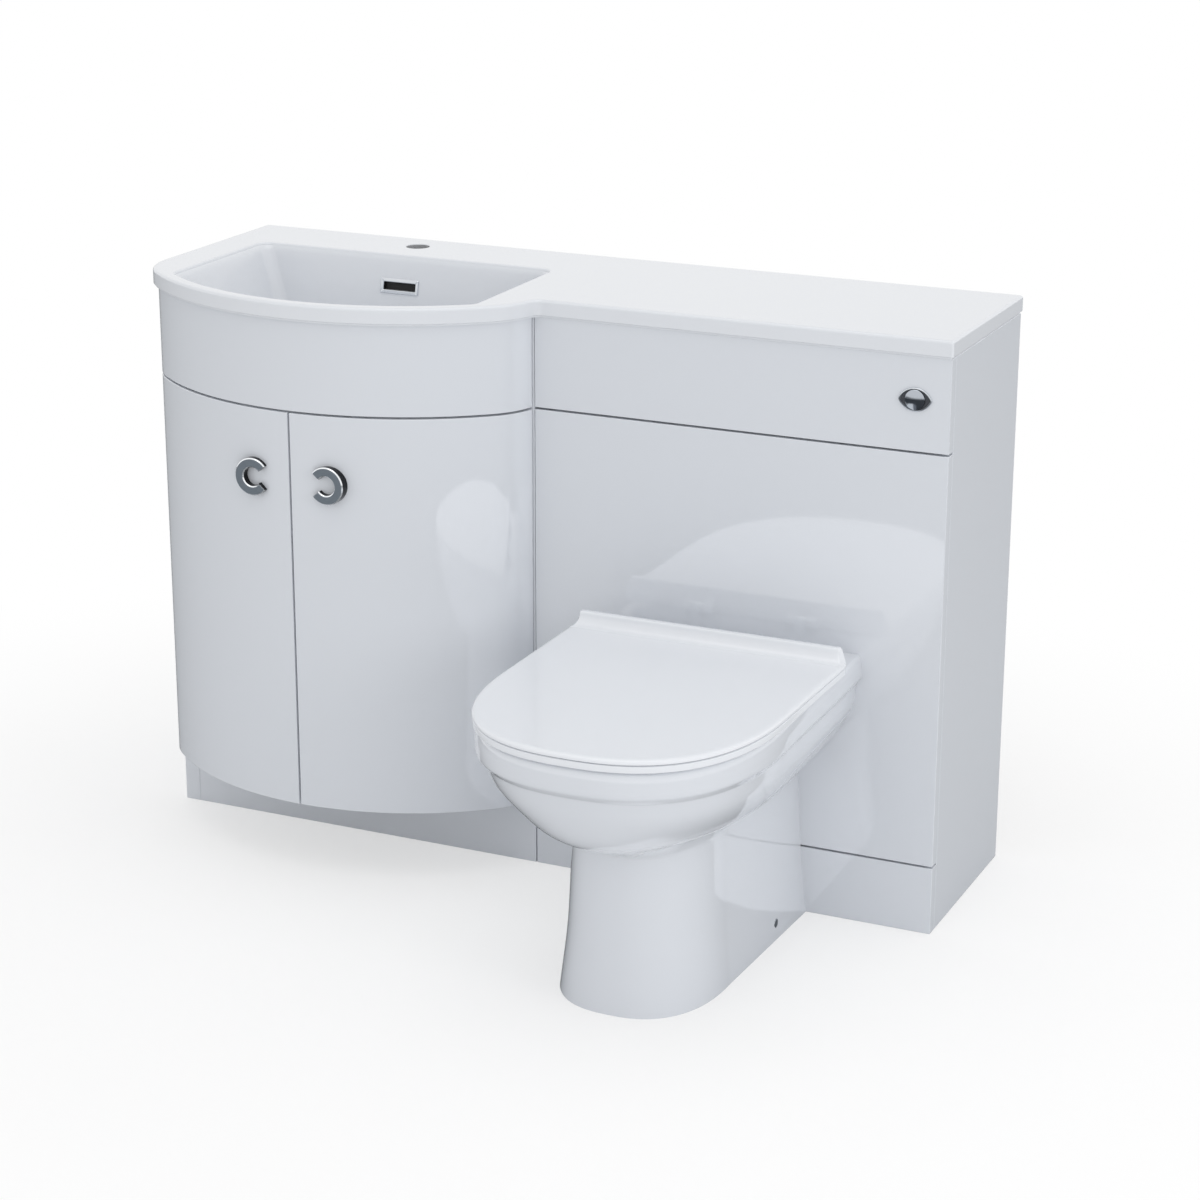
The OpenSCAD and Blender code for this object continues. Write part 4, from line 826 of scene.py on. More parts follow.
def overflow_duct():
    """The moulded duct that leads the overflow down behind the bowl to the waste."""
    low, high, along = (
        block(name, (BASIN_CX - half, front, bottom), (BASIN_CX + half, 202, top))
        for name, half, front, bottom, top in (
            ("duct_low", 24, 170, 713, 772), ("duct_high", 24, 181, 760, 812), ("duct_along", 16, 60, 703, 714),
        )
    )
    return eased(united(low, high), 1.5), eased(along, 3)


# Faces of the tap hole's wall, which get the painted shade.
def in_tap_hole(face):
    near = (face.center.xy - at(*TAP[:2], 0).xy).length < TAP[2] * MM
    return near and abs(face.normal.z) < 0.2


moulded_top = joined("moulded_worktop", solid("worktop", worktop), *overflow_duct())
finished(dressed(moulded_top, RESIN, TAP_HOLE_SHADE, second=in_tap_hole), "basin_worktop", keep_finish=True)


def overflow_trim():
    """Bevelled frame with a sleeve, and a near-black box in the sleeve that paints the shade inside the overflow."""
    lean = between(BOWL_STATIONS, (TOP_Z - OVERFLOW["z"]) / BOWL_DEPTH)[0]
    span = (0.24 - 0.05) / (0.30 - 0.03)
    tilt = degrees(atan(BOWL_LEAN["back"] * span / BOWL_DEPTH))
    wall = at(OVERFLOW["x"], BOWL_BACK - BOWL_LEAN["back"] * lean + 0.3, OVERFLOW["z"])
    spot = Matrix.Translation(wall) @ turn(-tilt, "X")
    w, h, rim = OVERFLOW["w"], OVERFLOW["h"], OVERFLOW["rim"]

    def loops(*sections):
        """Rounded rectangles that face forwards: (inset, y, corner), tilted with the wall of the bowl."""
        return [[
            spot @ (Vector((x, y, z)) * MM)
            for sx, sz, start in ((1, 1, 0), (-1, 1, 90), (-1, -1, 180), (1, -1, 270))
            for x, z in arc(
                sx * ((w - 2 * inset) / 2 - corner), sz * ((h - 2 * inset) / 2 - corner), corner, start, start + 90, 4
            )
        ] for inset, y, corner in sections]

    metal = lofted("trim_frame", loops(
        (0, 0.4, 1.5), (0, -1.5, 1.5), (0.7, -2.2, 1.3), (rim - 0.9, -2.2, 1.2), (rim, -1.4, 1.0),
        (rim + 0.4, 4.6, 0.8), (rim - 0.3, 4.6, 1.0), (rim - 0.3, 0.4, 1.0),
    ), hollow=True)
    # Painted shade: a near-black box fills the sleeve, where the overflow opening lies in shade.
    painted_shade_box = lofted("trim_liner", loops(
        (rim + 0.5, 4.4, 0.8), (rim + 0.45, -0.6, 0.8), (rim + 0.4, -0.6, 0.8), (rim + 0.4, 4.5, 0.8)
    ))
    count = len(metal.data.polygons)
    painted_shade_finish = plastic("overflow_liner", (0.02, 0.02, 0.025), (0.05, 0.05, 0.055), 0.5, 1200)
    return dressed(joined("overflow_frame", metal, painted_shade_box), CHROME, painted_shade_finish, second=lambda face: face.index >= count)


finished(overflow_trim(), "overflow_trim", keep_finish=True)

# ---- curved fronts


def bow_line(depth):
    """The line of the bow in plan, so far behind its face, from the left end to the right one."""
    small, big = BOW_END_R - depth, BOW_R - depth
    start = degrees(asin((BOW_END_Y + DOOR_BACK_GAP - END_SPARE) / small))
    return (
        arc(BASIN_CX - BOW_END_X, BOW_END_Y, small, 180 + start, 180 + BOW_TURN, 22)
        + arc(BASIN_CX, BOW_CY, big, 180 + BOW_TURN, 360 - BOW_TURN, 110)[1:]
        + arc(BASIN_CX + BOW_END_X, BOW_END_Y, small, -BOW_TURN, -start, 22)[1:]
    )


def swept_board():
    """A recipe for a board bent along a line: a rounded section carried along it."""
    recipe = Recipe("bent_board", Height=0.128, Thickness=0.018, Arris=0.001, Finish="")
    size = recipe.size
    line = recipe.node("MeshToCurve", {"Mesh": size("Geometry")})
    upright = recipe.node("SetCurveNormal", {"Curve": line}, mode="Z_UP")
    section = recipe.node(
        "CurvePrimitiveQuadrilateral",
        {"Width": size("Thickness"), "Height": size("Height")}, mode="RECTANGLE",
    )
    soft = recipe.node(
        "FilletCurve", {"Curve": section, "Radius": size("Arris"), "Count": 3}, mode="POLY"
    )
    return recipe.close(recipe.swept(upright, soft))


BENT = swept_board()


def bent_board(name, line, low, high):
    """A lacquered board along a line of the plan, between two heights. Its ends are sawn off at one plane."""
    board = BENT.make(
        name, wires(name + "_line", flat(line, (low + high) / 2)),
        Height=(high - low) * MM, Thickness=BOARD * MM, Arris=0.0011, Finish=LACQUER,
    )
    return carved(board, block("end_saw", (-640, -DOOR_BACK_GAP, low - 5), (40, 30, high + 5)))


finished(bent_board("curved_upper_front", bow_line(BOARD / 2), *APRON_Z), "curved_apron")


def door_frame(side):
    """The frame on the face of a door: z points out of it and x to the right."""
    return (
        Matrix.Translation(at(BASIN_CX, BOW_CY, HANDLE_Z)) @ turn(side * HANDLE_TURN, "Z")
        @ Matrix.Translation((0, -BOW_R * MM, 0)) @ turn(90, "X")
    )


def curved_door(side, word):
    """One door: its half of the bow, with the screw holes and the hinge pockets."""
    half = [(x, y) for x, y in bow_line(BOARD / 2) if side * (x - BASIN_CX) > 6.0]
    first = (BASIN_CX + side * REVEAL / 2, BOW_CY - sqrt((BOW_R - BOARD / 2) ** 2 - (REVEAL / 2) ** 2))
    door = bent_board(word + "_curved_door", half + [first] if side < 0 else [first] + half, *DOOR_Z)
    pin = (BASIN_CX + side * (BOW_END_X + PIN_R * sin(PIN_TURN)), BOW_END_Y - PIN_R * cos(PIN_TURN))
    door = carved(door, *(rod("pocket", (*pin, z - 6.3), (*pin, z + 6.3), 7.0, 40) for z in HINGE_ZS))
    for end in (-1, 1):
        hole = rod("hole", (0, -FACE_Y, -36), (0, -FACE_Y, 18), 2.25, 20)
        hole.data.transform(door_frame(side) @ Matrix.Translation((0, end * SCREW_R * MM, 0)))
        door = carved(door, hole)
    finished(door, word + "_door")


for side, word in SIDES:
    curved_door(side, word)

# ---- handles


def ring_handle():
    """A recipe for an open ring: its section goes round an arc and its back settles on the door."""
    recipe = Recipe("open_ring", Radius=0.02, Gap=1.36, Door=0.391, Offset=0.0588, Finish="")
    size = recipe.size
    line = recipe.node(
        "CurveArc",
        {
            "Resolution": 97, "Radius": size("Radius"), "Start Angle": size("Gap") * 0.5,
            "Sweep Angle": 2 * pi - size("Gap"),
        },
        mode="RADIUS",
    )
    line = recipe.node("SetCurveNormal", {"Curve": line}, mode="Z_UP")
    body = recipe.swept(line, recipe.node("MeshToCurve", {"Mesh": size("Geometry")}))
    x = recipe.node("ShaderNodeSeparateXYZ", [recipe.node("InputPosition")])
    y, z = (Wire(recipe, x.socket.node.outputs[k]) for k in (1, 2))
    door, offset = size("Door"), size("Offset")
    seat = (door * door - (x - offset) * (x - offset)) ** 0.5 - (door * door - offset * offset) ** 0.5
    low = 1.0 - z.maths("GREATER_THAN", z, 0.0001)
    settled = recipe.node("ShaderNodeCombineXYZ", [x, y, z + (seat - z) * low])
    return recipe.close(recipe.node("SetPosition", {"Geometry": body, "Position": settled}))


def handle_section():
    """Section of the ring: flat face, wide bevels, straight sides. x points out from its centre."""
    half, t, bevel = (HANDLE_R[1] - HANDLE_R[0]) / 2, HANDLE_T, HANDLE_BEVEL
    points = [(half, 0), (half, t - bevel), (half - bevel, t), (bevel - half, t), (-half, t - bevel), (-half, 0)]
    return wires("handle_section", [(x * MM, -z * MM, 0) for x, z in points], closed=True)


OPEN_RING = ring_handle()
FROM_SPLIT = BOW_R * sin(radians(HANDLE_TURN))
for side, word in SIDES:
    centre = at(BASIN_CX + side * FROM_SPLIT, BOW_CY - BOW_R * cos(radians(HANDLE_TURN)), HANDLE_Z)
    handle = OPEN_RING.make(
        word + "_ring_handle", handle_section(),
        Matrix.Translation(centre) @ turn(90, "X") @ turn(0 if side < 0 else 180, "Z"),
        Radius=SCREW_R * MM, Gap=radians(HANDLE_GAP), Door=BOW_R * MM, Offset=FROM_SPLIT * MM, Finish=PAINTED_LIGHT_NICKEL,
    )
    finished(eased(handle, 0.22, 2, 30), word + "_handle", crease=24)

# ---- repeated fixings


def fixings():
    """A recipe that sets one piece on points, each turned by the point's own angles."""
    recipe = Recipe("fixings", Piece=None, Finish="")
    size = recipe.size
    piece = recipe.node("ObjectInfo", {"Object": size("Piece")}, "Geometry")
    angles = recipe.node("InputNamedAttribute", {"Name": "turn"}, data_type="FLOAT_VECTOR")
    return recipe.close(recipe.node("InstanceOnPoints", {
        "Points": size("Geometry"), "Instance": piece,
        "Rotation": recipe.node("FunctionNodeEulerToRotation", [angles]),
    }))


FIXINGS = fixings()


def set_out(name, piece, finish, places):
    """Copies of a piece, which is removed, at places: (point in metres, turn in degrees)."""
    mesh = wires(name + "_places", [p for p, _ in places])
    turns = mesh.attributes.new("turn", "FLOAT_VECTOR", "POINT")
    turns.data.foreach_set("vector", [radians(a) for _, angles in places for a in angles])
    made = FIXINGS.make(name, mesh, Piece=piece, Finish=finish)
    bpy.data.objects.remove(piece)
    return made


def turned(name, profile, count=48):
    """A turned piece round z: (radius, height) in millimetres, from its bottom axis to its top axis."""
    def build(bm):
        rings = [ring(bm, [Vector((x, y, z)) * MM for x, y in circle(r, count)]) for r, z in profile[1:-1]]
        skin(bm, rings)
        for end, (_, z) in ((rings[0], profile[0]), (rings[-1], profile[-1])):
            pole = bm.verts.new((0, 0, z * MM))
            for k in range(count):
                bm.faces.new((end[k], end[(k + 1) % count], pole))

    return solid(name, build)


def pan_head_screw():
    screw = turned("screw", [
        (0, -20.2), (2.2, -20.2), (3.4, -20.0), (4, -19.3), (4, -18), (2, -18), (2, 5.2), (1.4, 6), (0, 6),
    ], 20)
    return carved(screw, *(
        block("cross", (-w, -d - FACE_Y, -21), (w, d - FACE_Y, -19.2)) for w, d in ((2.4, 0.7), (0.7, 2.4))
    ))


for side, word in SIDES:
    screws = set_out(word + "_pan_head_screws", pan_head_screw(), ZINC, [
        (door_frame(side) @ Vector((0, end * SCREW_R * MM, 0)), (90, 0, side * HANDLE_TURN)) for end in (-1, 1)
    ])
    finished(screws, word + "_handle_screws")


def buffer(height):
    """A soft round pad with an eased rim and a dimple."""
    return turned("buffer", [
        (0, 0.5), (3, 0.5), (4.2, 0.1), (5.6, 0), (6.6, 0.3), (7, 0.9), (7, height - 0.4), (6.7, height), (0, height),
    ], 32)


PAD_SPOTS = [
    (PAN_X + side * x, -y)
    for side in (-1, 1) for x, y in ((0.42 * PAN_HALF * 2, 0.40 * PAN_REACH), (0.30 * PAN_HALF * 2, 0.80 * PAN_REACH))
]
for node, low, high in (
    ("seat_buffers", PAN_H + 0.3, SEAT_Z + 2), ("lid_buffers", SEAT_Z + SEAT_T + 0.3, LID_Z + 2),
):
    places = [(point, (0, 0, 0)) for point in flat(PAD_SPOTS, low)]
    finished(set_out(node.replace("buffers", "pads"), buffer(high - low), CISTERN, places), node, CISTERN)

low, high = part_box("shelf_pins")
pin_ys = (low.y / MM - FACE_Y + 2.5, high.y / MM - FACE_Y - 2.5)
pin_z = (low.z + high.z) / 2 / MM
places = [(at(x, y, pin_z), (0, tilt, 0)) for x, tilt in ((-600 + 25, 90), (-BOARD, -90)) for y in pin_ys]
rest = turned("rest", [(0, 0), (2.5, 0), (2.5, 9.3), (1.8, 10), (0, 10)], 24)
finished(set_out("shelf_rests", rest, CHROME, places), "shelf_pins")

# ---- toilet pan


def front_curve(half, reach, back, power, count):
    """The full front of the pan in plan, from one side to the other, as an eased oval."""
    made = []
    for k in range(count + 1):
        t = pi * (k / count - 0.5)
        made.append((half * swell(sin(t), 2 / power), -back - (reach - back) * abs(cos(t)) ** (2 / power)))
    return made


# Shares of the pan's height, half width at the front and at the wall, reach, shoulder, and the power of the front
PAN_STATIONS = [
    (0.0, 0.561, 0.602, 0.756, 0.477, 2.5), (0.256, 0.515, 0.551, 0.736, 0.468, 2.45),
    (0.45, 0.502, 0.526, 0.731, 0.462, 2.42), (0.555, 0.497, 0.517, 0.729, 0.459, 2.4),
    (0.583, 0.521, 0.527, 0.760, 0.431, 2.3), (0.621, 0.582, 0.561, 0.826, 0.385, 2.1),
    (0.645, 0.684, 0.643, 0.862, 0.376, 2.05), (0.670, 0.781, 0.740, 0.888, 0.394, 2.1),
    (0.716, 0.847, 0.816, 0.917, 0.440, 2.15), (0.767, 0.893, 0.872, 0.939, 0.486, 2.3),
    (0.818, 0.929, 0.913, 0.958, 0.523, 2.4), (0.885, 0.954, 0.929, 0.978, 0.550, 2.45),
]
RIM_STATIONS = PAN_STATIONS[-1:] + [row + PAN_STATIONS[-1][-2:] for row in (
    (0.900, 0.977, 0.942, 0.989), (0.917, 0.998, 0.964, 0.998), (0.960, 1.0, 0.966, 1.0),
    (0.990, 0.985, 0.956, 0.995), (1.0, 0.965, 0.940, 0.987),
)]
# Shares of the height, half width, and the front and back end of the hollow
HOLLOW = [
    (1.0, 0.713, 0.910, 0.275), (0.97, 0.728, 0.916, 0.270), (0.84, 0.680, 0.880, 0.275),
    (0.69, 0.530, 0.770, 0.290), (0.55, 0.365, 0.632, 0.308), (0.42, 0.204, 0.532, 0.330),
    (0.345, 0.112, 0.480, 0.356),
]


def pan_plan(row, inset):
    """Outline of the pan in plan at one height, from wall to wall. Its points follow rays from one centre."""
    reach, back = row[2] * PAN_REACH - inset, row[3] * PAN_REACH
    edge = front_curve(row[0] * PAN_HALF - inset, reach, back, row[4], 600)[300:]
    edge.append((row[1] * PAN_HALF - inset, -2 * inset))
    turns = [atan2(x, -y - RAY_CENTRE) for x, y in edge]
    right = []
    for k in range(RAYS + 1):
        ray = turns[-1] * k / RAYS
        j = min(max(bisect_left(turns, ray), 1), len(turns) - 1)
        share = (ray - turns[j - 1]) / (turns[j] - turns[j - 1])
        right.append(tuple(a + (b - a) * share for a, b in zip(edge[j - 1], edge[j])))
    return [(-x, y) for x, y in reversed(right[1:])] + right


def pan_levels(stations, shares, inset=0.0):
    return [flat(pan_plan(between(stations, share), inset), share * PAN_H, PAN_X) for share in shares]


def pan_body():
    low = [0.0, 0.004] + [0.04 * k for k in range(1, 14)] + [0.535, 0.55, 0.56, 0.568, 0.576, 0.585, 0.595]
    low += [0.606, 0.617, 0.628, 0.638, 0.648, 0.658, 0.668, 0.68, 0.695, 0.715, 0.74, 0.765, 0.79, 0.815]
    low += [0.84, 0.862, 0.878, 0.8835]
    high = [0.8865, 0.89, 0.895, 0.9, 0.906, 0.912, 0.918, 0.93, 0.945, 0.96, 0.97, 0.98, 0.987, 0.993, 0.997, 1.0]
    return lofted("glazed_pan", pan_levels(PAN_STATIONS, low) + pan_levels(RIM_STATIONS, high))


def oval(share, grow, z):
    """One level of the hollow of the bowl."""
    half, front, back = between(HOLLOW, share)
    half = half * PAN_HALF + grow
    mid, deep = (front + back) / 2 * PAN_REACH, (front - back) / 2 * PAN_REACH + grow
    return flat(
        [(PAN_X + half * swell(c, OVAL_POWER), -mid + deep * swell(s, OVAL_POWER)) for c, s in circle(1, 120)], z
    )


def pan_hollow():
    """The bowl with a rounded edge at its mouth."""
    levels = [oval(1.0, grow, PAN_H - drop) for grow, drop in (
        (4.5, -1), (3.6, 0), (2.4, 0.4), (1.2, 1.2), (0.4, 2.4), (0.0, 4.0),
    )]
    shares = [0.985 - (0.985 - 0.345) * (k / 26) ** 0.9 for k in range(1, 27)]
    return lofted("bowl_room", levels + [oval(share, 0.0, share * PAN_H) for share in shares])


def bowl_wall():
    """The hollow of the bowl with its wall round it, as far down as the trapway reaches."""
    levels = [oval(share, FOOT_WALL, share * PAN_H) for share in (0.52, 0.48, 0.44, 0.40, 0.37, 0.345)]
    return lofted("bowl_wall", levels + [oval(0.345, FOOT_WALL, 108)])


def toilet_pan():
    """The pan with its bowl, trapway, outlet, inlet and fixing holes, and the room in its foot."""
    pan = carved(pan_body(), block("recess", (PAN_X - 98, -80, 241), (PAN_X + 98, 1, PAN_H - 16)))
    sump_y, sump_z, rise_y = -0.43 * PAN_REACH, 0.385 * PAN_H, -0.18 * PAN_REACH

    def bar(name, start, end, z, radius, count):
        return rod(name, (PAN_X, start, z), (PAN_X, end, z), radius, count)

    def on_way(run):
        """A point of the trapway, so far up from the sump."""
        return PAN_X, sump_y + run * cos(TRAP_CLIMB), sump_z + run * sin(TRAP_CLIMB)

    top = on_way((rise_y - sump_y) / cos(TRAP_CLIMB))
    foot = pan_levels(PAN_STATIONS, [0.02, 0.12, 0.256, 0.36, 0.45], FOOT_WALL)
    for point in foot[0]:
        point.z = -0.002
    pan = carved(pan, carved(
        lofted("foot_room", foot), bowl_wall(), rod("trap_wall", on_way(-10), top, TRAP_WALL_R, 56),
        bar("outlet_wall", rise_y - 14, 70, OUTLET_Z, OUTLET_WALL_R, 56),
    ))
    pan = united(
        pan, bar("outlet", -60, 60, OUTLET_Z, OUTLET_R, 72), bar("shoulder", -60, 18.5, OUTLET_Z, SHOULDER_R, 72),
        bar("inlet_boss", -84, 0, INLET_Z, INLET_BOSS_R, 64),
    )
    side_left, side_right = ((PAN_X + side * PAN_HALF, SIDE_HOLE_Y, SIDE_HOLE_Z) for side in (-1, 1))
    return carved(
        pan, pan_hollow(), rod("trap", on_way(0), top, TRAP_R, 64),
        bar("outlet_bore", rise_y - 14, 62, OUTLET_Z, OUTLET_BORE_R, 64),
        bar("inlet_bore", -70, 1, INLET_Z, INLET_R, 64),
        bar("flush_way", -0.32 * PAN_REACH, -69, INLET_Z, FLUSH_WAY_R, 64),
        rod("side_holes", side_left, side_right, SIDE_HOLE_R, 40),
        *(rod("deck_hole", (x, -53, PAN_H - 30), (x, -53, PAN_H + 10), DECK_HOLE_R, 36) for x in HINGE_XS),
    )


finished(toilet_pan(), "toilet_pan", crease=58, flat_faces=False)

# ---- seat and lid


def lid_plan(inset):
    half, reach, end = LID_HALF - inset, PAN_REACH + 2 - inset, -LID_BACK - inset / 4
    side = [(half, y) for y in spread(-LID_SHOULDER, end - LID_CORNER, 6)[1:-1]]
    side += arc(half - LID_CORNER, end - LID_CORNER, LID_CORNER, 0, 90, 8)
    return front_curve(half, reach, LID_SHOULDER, LID_POWER, 110) + side + [(-x, y) for x, y in reversed(side)]


def slab(plan, base, *levels):
    """Loops of a plan at levels: (height over the base, inset)."""
    return [flat(plan(inset), base + z, PAN_X) for z, inset in levels]


def seat_opening(grow):
    across, along = 0.6 * PAN_HALF + grow, 0.285 * PAN_REACH + grow
    return [(across * c, -0.59 * PAN_REACH + along * s) for c, s in circle(1, 110)]


def seat_ring(bm):
    t = SEAT_T
    outer, inner = ([ring(bm, loop) for loop in loops] for loops in (
        slab(
            lid_plan, SEAT_Z, (0, 4.5), (0, 2.6), (0.5, 1.4), (1.2, 0.8), (2.2, 0.5), (t - 2.4, 0.5), (t - 1.3, 0.8),
            (t - 0.6, 1.4), (t - 0.1, 2.6), (t, 4.5),
        ),
        slab(
            seat_opening, SEAT_Z, (0, 4.0), (0.2, 2.2), (1, 0.9), (2.4, 0.2), (4, 0), (5.6, 0.7), (7.2, 2.2),
            (8.6, 4.6), (9.5, 7.4), (t, 11),
        ),
    ))
    skin(bm, outer)
    skin(bm, inner)
    fill(bm, outer[0], inner[0])
    fill(bm, outer[-1], inner[-1])


def lid_slab():
    return lofted("moulded_lid", slab(
        lid_plan, LID_Z, (0, 5), (0, 2.6), (0.3, 1.3), (0.8, 0.5), (1.5, 0), (3.2, 0.1), (4.4, 0.5), (5.3, 1.2),
        (6, 2.2), (6.5, 3.6), (6.85, 5.6), (LID_T, 9),
    ))


def back_strip():
    """The raised strip at the back of the lid, with a cove in front. Its ends sweep in towards the top."""
    top = LID_Z + LID_T
    section = [(-82.0, 405.0), (-107.0, 405.0)]
    for bend in map(radians, spread(0, 83, 9)):
        section.append((-106.5 + COVE_R * sin(bend), top - 0.1 + COVE_R * (1 - cos(bend))))
    section += [
        (-91.3, 425.6), (-90.9, 427.0), (-90.0, 428.1), (-88.6, 428.4), (-84.0, 428.4), (-82.2, 428.0),
        (-81.2, 426.9), (-80.9, 425.4), (-81.0, 412.0),
    ]

    def end_at(z):
        lift = min(max(0.0, z - top), STRIP_ROUND)
        return 197.5 - 9.0 * sin(acos(1 - lift / STRIP_ROUND))

    return lofted("strip", [
        [at(PAN_X + side * (end_at(z) - tuck), y, z) for y, z in section]
        for side, tuck in ((-1, 0.0), (-1, 12.0), (1, 12.0), (1, 0.0))
    ])


def knuckle(centre_x, low, high):
    """An ear of the seat or the lid with its bore round the hinge pin."""
    y, z = AXIS
    left, right = PAN_X + centre_x - KNUCKLE_W / 2, PAN_X + centre_x + KNUCKLE_W / 2
    ear = eased(block("ear", (left, -96, low), (right, y, high)), 0.8, 2)
    ear = united(ear, eased(rod("eye", (left, y, z), (right, y, z), KNUCKLE_R), 0.7, 2))
    return carved(ear, rod("eye_bore", (left - 1, y, z), (right + 1, y, z), PIN_BORE_R, 40))


def with_pads_and_ears(piece, bottom, ears, low, high):
    """A seat or a lid with the rooms of its pads and the two ears of its hinge."""
    rooms = (rod("pad_room", (x, y, bottom - 1), (x, y, bottom + 2), PAD_ROOM_R, 40) for x, y in PAD_SPOTS)
    return united(carved(piece, *rooms), *(knuckle(side * ears, low, high) for side in (-1, 1)))


seat = solid("moulded_seat", seat_ring)
seat = with_pads_and_ears(seat, SEAT_Z, HINGE_X + EAR_STEP, SEAT_Z + 1, SEAT_Z + SEAT_T - 1)
finished(seat, "toilet_seat")
lid = united(lid_slab(), eased(back_strip(), 1.4, 3, 55))
lid = with_pads_and_ears(lid, LID_Z, HINGE_X - EAR_STEP, LID_Z + 1, LID_Z + LID_T + 4)
finished(lid, "toilet_lid")

# ---- flush button

BUTTON_FRAME = Matrix.Translation(at(BUTTON[0], 0, BUTTON[1])) @ turn(-90, "X")


def eye(inset, z):
    """The outline of the bezel: two arcs that meet in points at the sides, slightly blunted."""
    shift, r = BEZEL_R - BEZEL_H / 2, BEZEL_R - inset
    reach = degrees(acos(shift / r)) - 0.8
    half = arc(0, -shift, r, 90 - reach, 90 + reach, 40)
    return [Vector((sign * x, sign * y, z)) * MM for sign in (1, -1) for x, y in half]


def bezel_plate():
    levels = [(0.0, 0.0), (0.0, -1.2), (0.4, -2.1), (1.0, -2.5), (2.1, -2.5), (2.6, -2.0), (3.0, -1.2)]
    loops = [eye(inset, z) for inset, z in levels]
    for z in (-1.2, 0.0):
        loops.append([Vector((*(p.xy.normalized() * (BORE_R + 0.1) * MM), z * MM)) for p in loops[6]])
    return lofted("bezel_plate", loops, hollow=True)


def bezel_barrel():
    """Barrel of the bezel: a fine rounded thread, a closed end with its nub, and the bore of the button."""
    root, crest = BARREL_R - 0.6, BARREL_R - 0.03
    profile = [(BORE_R + 0.1, 0.0), (root, 0.0)]
    for z in range(1, 36, 2):
        profile += [(root, z), (crest, z + 0.7), (crest, z + 1.0), (root, z + 1.7)]
    profile += [
        (root, 37.4), (root - 0.6, 38), (4, 38), (4, 43), (1.5, 43), (1.5, 35), (BORE_R, 35), (BORE_R, 0.5),
    ]
    return lofted("bezel_barrel", [
        [Vector((x, y, z)) * MM for x, y in circle(r, 56)] for r, z in profile
    ], hollow=True)


# Painted shade: the recess of the bezel round the button is painted dark grey, where the chrome lies in shade.
PAINTED_EYE_SHADE = plastic("bezel_recess", (0.22, 0.23, 0.25), (0.29, 0.30, 0.32), 0.2, 500)
bezel = dressed(
    joined("eye_bezel", bezel_plate(), bezel_barrel()), CHROME, PAINTED_EYE_SHADE,
    second=lambda face: face.normal.z < -0.5 and -2.28 * MM < face.center.z < -0.9 * MM,
)
bezel.data.transform(BUTTON_FRAME)
finished(bezel, "button_bezel", keep_finish=True)

dome = [(0, -7.0)] + [(1.3 * k, 23 - sqrt(900 - (1.3 * k) ** 2)) for k in range(1, 11)]
dome += [(13.45, -3.7), (13.68, -3.3), (BUTTON_R, -2.8), (BUTTON_R, 6.4), (13.2, 7), (0, 7)]
finished(outward(turned("dome_button", dome, 72), BUTTON_FRAME), "flush_button", button_chrome())


def coil():
    """A recipe for a spring: round wire on a helix."""
    recipe = Recipe("spring", Radius=0.009, Wire=0.0006, Turns=6.0, Length=0.02, Finish="")
    size = recipe.size
    line = recipe.node("CurveSpiral", {
        "Resolution": 28, "Rotations": size("Turns"), "Start Radius": size("Radius"),
        "End Radius": size("Radius"), "Height": size("Length"),
    })
    wire = recipe.node("CurvePrimitiveCircle", {"Resolution": 10, "Radius": size("Wire")})
    return recipe.close(recipe.swept(line, wire))


low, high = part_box("button_spring")
run, end_room = high.y - low.y, 0.00065
foot = Vector((BUTTON[0] * MM, low.y + end_room, BUTTON[1] * MM))
spring = coil().make(
    "return_spring", bpy.data.meshes.new("spring_seed"), Matrix.Translation(foot) @ turn(-90, "X"),
    Radius=SPRING_R * MM, Wire=SPRING_WIRE_R * MM, Turns=SPRING_TURNS, Length=run - 2 * end_room, Finish=ZINC,
)
spring = finished(spring, "button_spring")
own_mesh(spring)

# ---- the other pieces

# Each row: node, name of the piece, how far its edges are rounded in millimetres
EASED = """
left_end_panel outer_end_panel 1.0
basin_right_panel basin_inner_side 0.8
basin_base basin_bottom_board 0.6
basin_shelf bow_shelf 0.6
basin_back_rails basin_rear_rails 0.8
basin_front_rail curved_rail 0.6
basin_plinth basin_kickboard 1.0
left_hinge_arms left_cranked_arms 0.3
right_hinge_arms right_cranked_arms 0.3
left_hinge_links left_link_bars 0.3
right_hinge_links right_link_bars 0.3
left_hinge_plates left_door_plates 0.25
right_hinge_plates right_door_plates 0.25
wc_left_panel toilet_inner_side 0.8
wc_right_panel toilet_outer_side 1.0
wc_plinth toilet_kickboard 1.0
wc_upper_panel flush_panel 1.0
wc_main_panel removable_panel 1.0
wc_front_battens panel_battens 0.8
wc_back_rails toilet_rear_rails 0.8
wall_brackets steel_wall_angles 0.4
panel_clips push_fit_clips 0.4
cistern_tank moulded_tank 1.6
cistern_lid tank_cover 1.0
cistern_brackets tank_rests 0.4
fill_valve inlet_valve 0.5
float_cup valve_float 0.8
flush_valve outlet_valve 0.6
flush_plunger valve_plunger 0.5
flush_pipe flush_bend 0.5
flush_cone rubber_cone 0.8
air_hose air_tube 0.0
button_nut back_nut 0.4
seat_hinge_posts hinge_posts 0.4
seat_hinge_nuts wing_nuts 0.6
pan_floor_brackets floor_angles 0.4
pan_fixing_screws foot_screws 0.4
outlet_seal outlet_sleeve 0.6
"""
for node, name, radius in map(str.split, EASED.split("\n")[1:-1]):
    piece = from_node(node, name)
    finished(eased(piece, float(radius), 2, 35) if float(radius) else piece, node)

# ---- room and light

scene = bpy.context.scene
scene.view_settings.view_transform = "Standard"
WHITE = (1.0, 1.0, 1.0, 1.0)
ROOM_LEVEL = 0.85


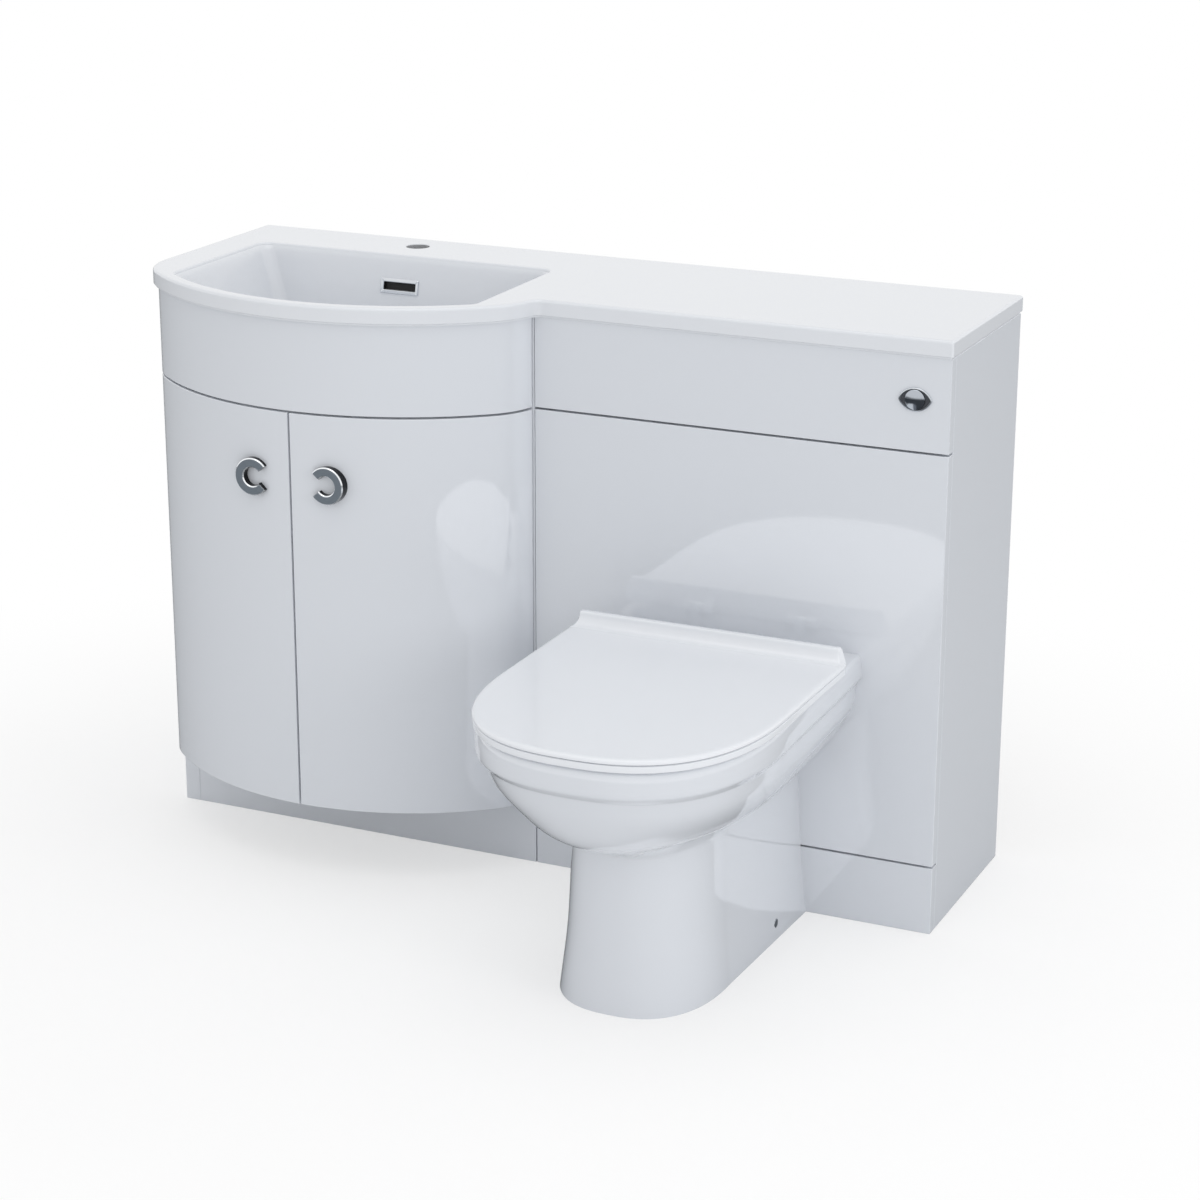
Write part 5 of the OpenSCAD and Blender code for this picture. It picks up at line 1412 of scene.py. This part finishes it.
def pale_floor():
    """Keeps the shadow of the object. The camera sees it whiten away from the object, and mirrors see it greyer."""
    f = Finish("pale_floor")
    mirrored, seen = f.rays("Glossy", "Camera")
    dust = f.grain(3.0, 3.0)
    base = f.blend(dust, (0.975, 0.975, 0.975), (0.985, 0.985, 0.985))
    paper = f.node("BsdfPrincipled", {
        "Base Color": f.blend(mirrored, base, (0.50, 0.51, 0.52)), "Roughness": 0.9 + dust * 0.05,
        "Specular IOR Level": 0.0,
    })
    away = f.node("VectorMath", [f.place], "Value", operation="LENGTH").over(0.75, 1.6)
    white = f.node("Emission", {"Color": WHITE, "Strength": 1.0})
    shown = f.node("MixShader", [seen * (0.5 + away * 0.5), paper, white])
    f.node("OutputMaterial", [shown])
    return f.material


FLOOR_HALF, FLOOR_T = 14, 0.02
corners = [(FLOOR_HALF * x, FLOOR_HALF * y) for x, y in ((-1, -1), (1, -1), (1, 1), (-1, 1))]
floor = lofted("floor", [[Vector((x, y, z)) for x, y in corners] for z in (-FLOOR_T, 0)])
floor.data.materials.append(pale_floor())
floor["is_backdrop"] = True

world = bpy.data.worlds.new("room")
scene.world = world
world.use_nodes = True
sky = Graph(world.node_tree)
seen, glossy, through = sky.rays("Camera", "Glossy", "Transmission")
mirrored = seen.maths("MAXIMUM", glossy, through)
strength = ROOM_LEVEL * (1.0 - seen) * (1.0 - mirrored) + seen + mirrored * (1.0 - seen)
sky.node("OutputWorld", [sky.node("Background", {"Color": WHITE, "Strength": strength})])


def soft_lamp(name, place, target, size, watts, mirrored=True):
    """A round lamp. Where mirrored is False, it lights the object but glossy pieces don't show it."""
    light = bpy.data.lights.new(name, "AREA")
    light.shape, light.size, light.energy = "DISK", size, watts
    lamp = placed(name, light)
    lamp.location = place
    lamp.rotation_euler = (Vector(target) - Vector(place)).to_track_quat("-Z", "Y").to_euler()
    lamp.visible_glossy = mirrored


soft_lamp("overhead", (0.1, -0.5, 4.3), (0.1, -0.2, 0.4), 3.2, 20)
soft_lamp("front", (1.2, -4.6, 1.1), (0.0, 0.0, 0.35), 2.4, 15, False)
soft_lamp("right_side", (4.4, -1.2, 1.7), (0.5, 0.0, 0.4), 2.0, 30, False)

# ---- camera

YAW, PITCH, ROLL = -24.509, -18.161, 0.118
CAMERA_AT = (1.7287, -3.4494, 1.7031)
LENS, SENSOR = 88.57, 36.0
view = bpy.data.cameras.new("view")
view.lens, view.sensor_width = LENS, SENSOR
view.clip_start, view.clip_end = 0.05, 60.0
camera = placed("camera", view)
camera.matrix_world = (
    Matrix.Translation(CAMERA_AT) @ turn(-YAW, "Z") @ turn(90 + PITCH, "X") @ turn(ROLL, "Z")
)
scene.camera = camera

low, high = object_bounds()
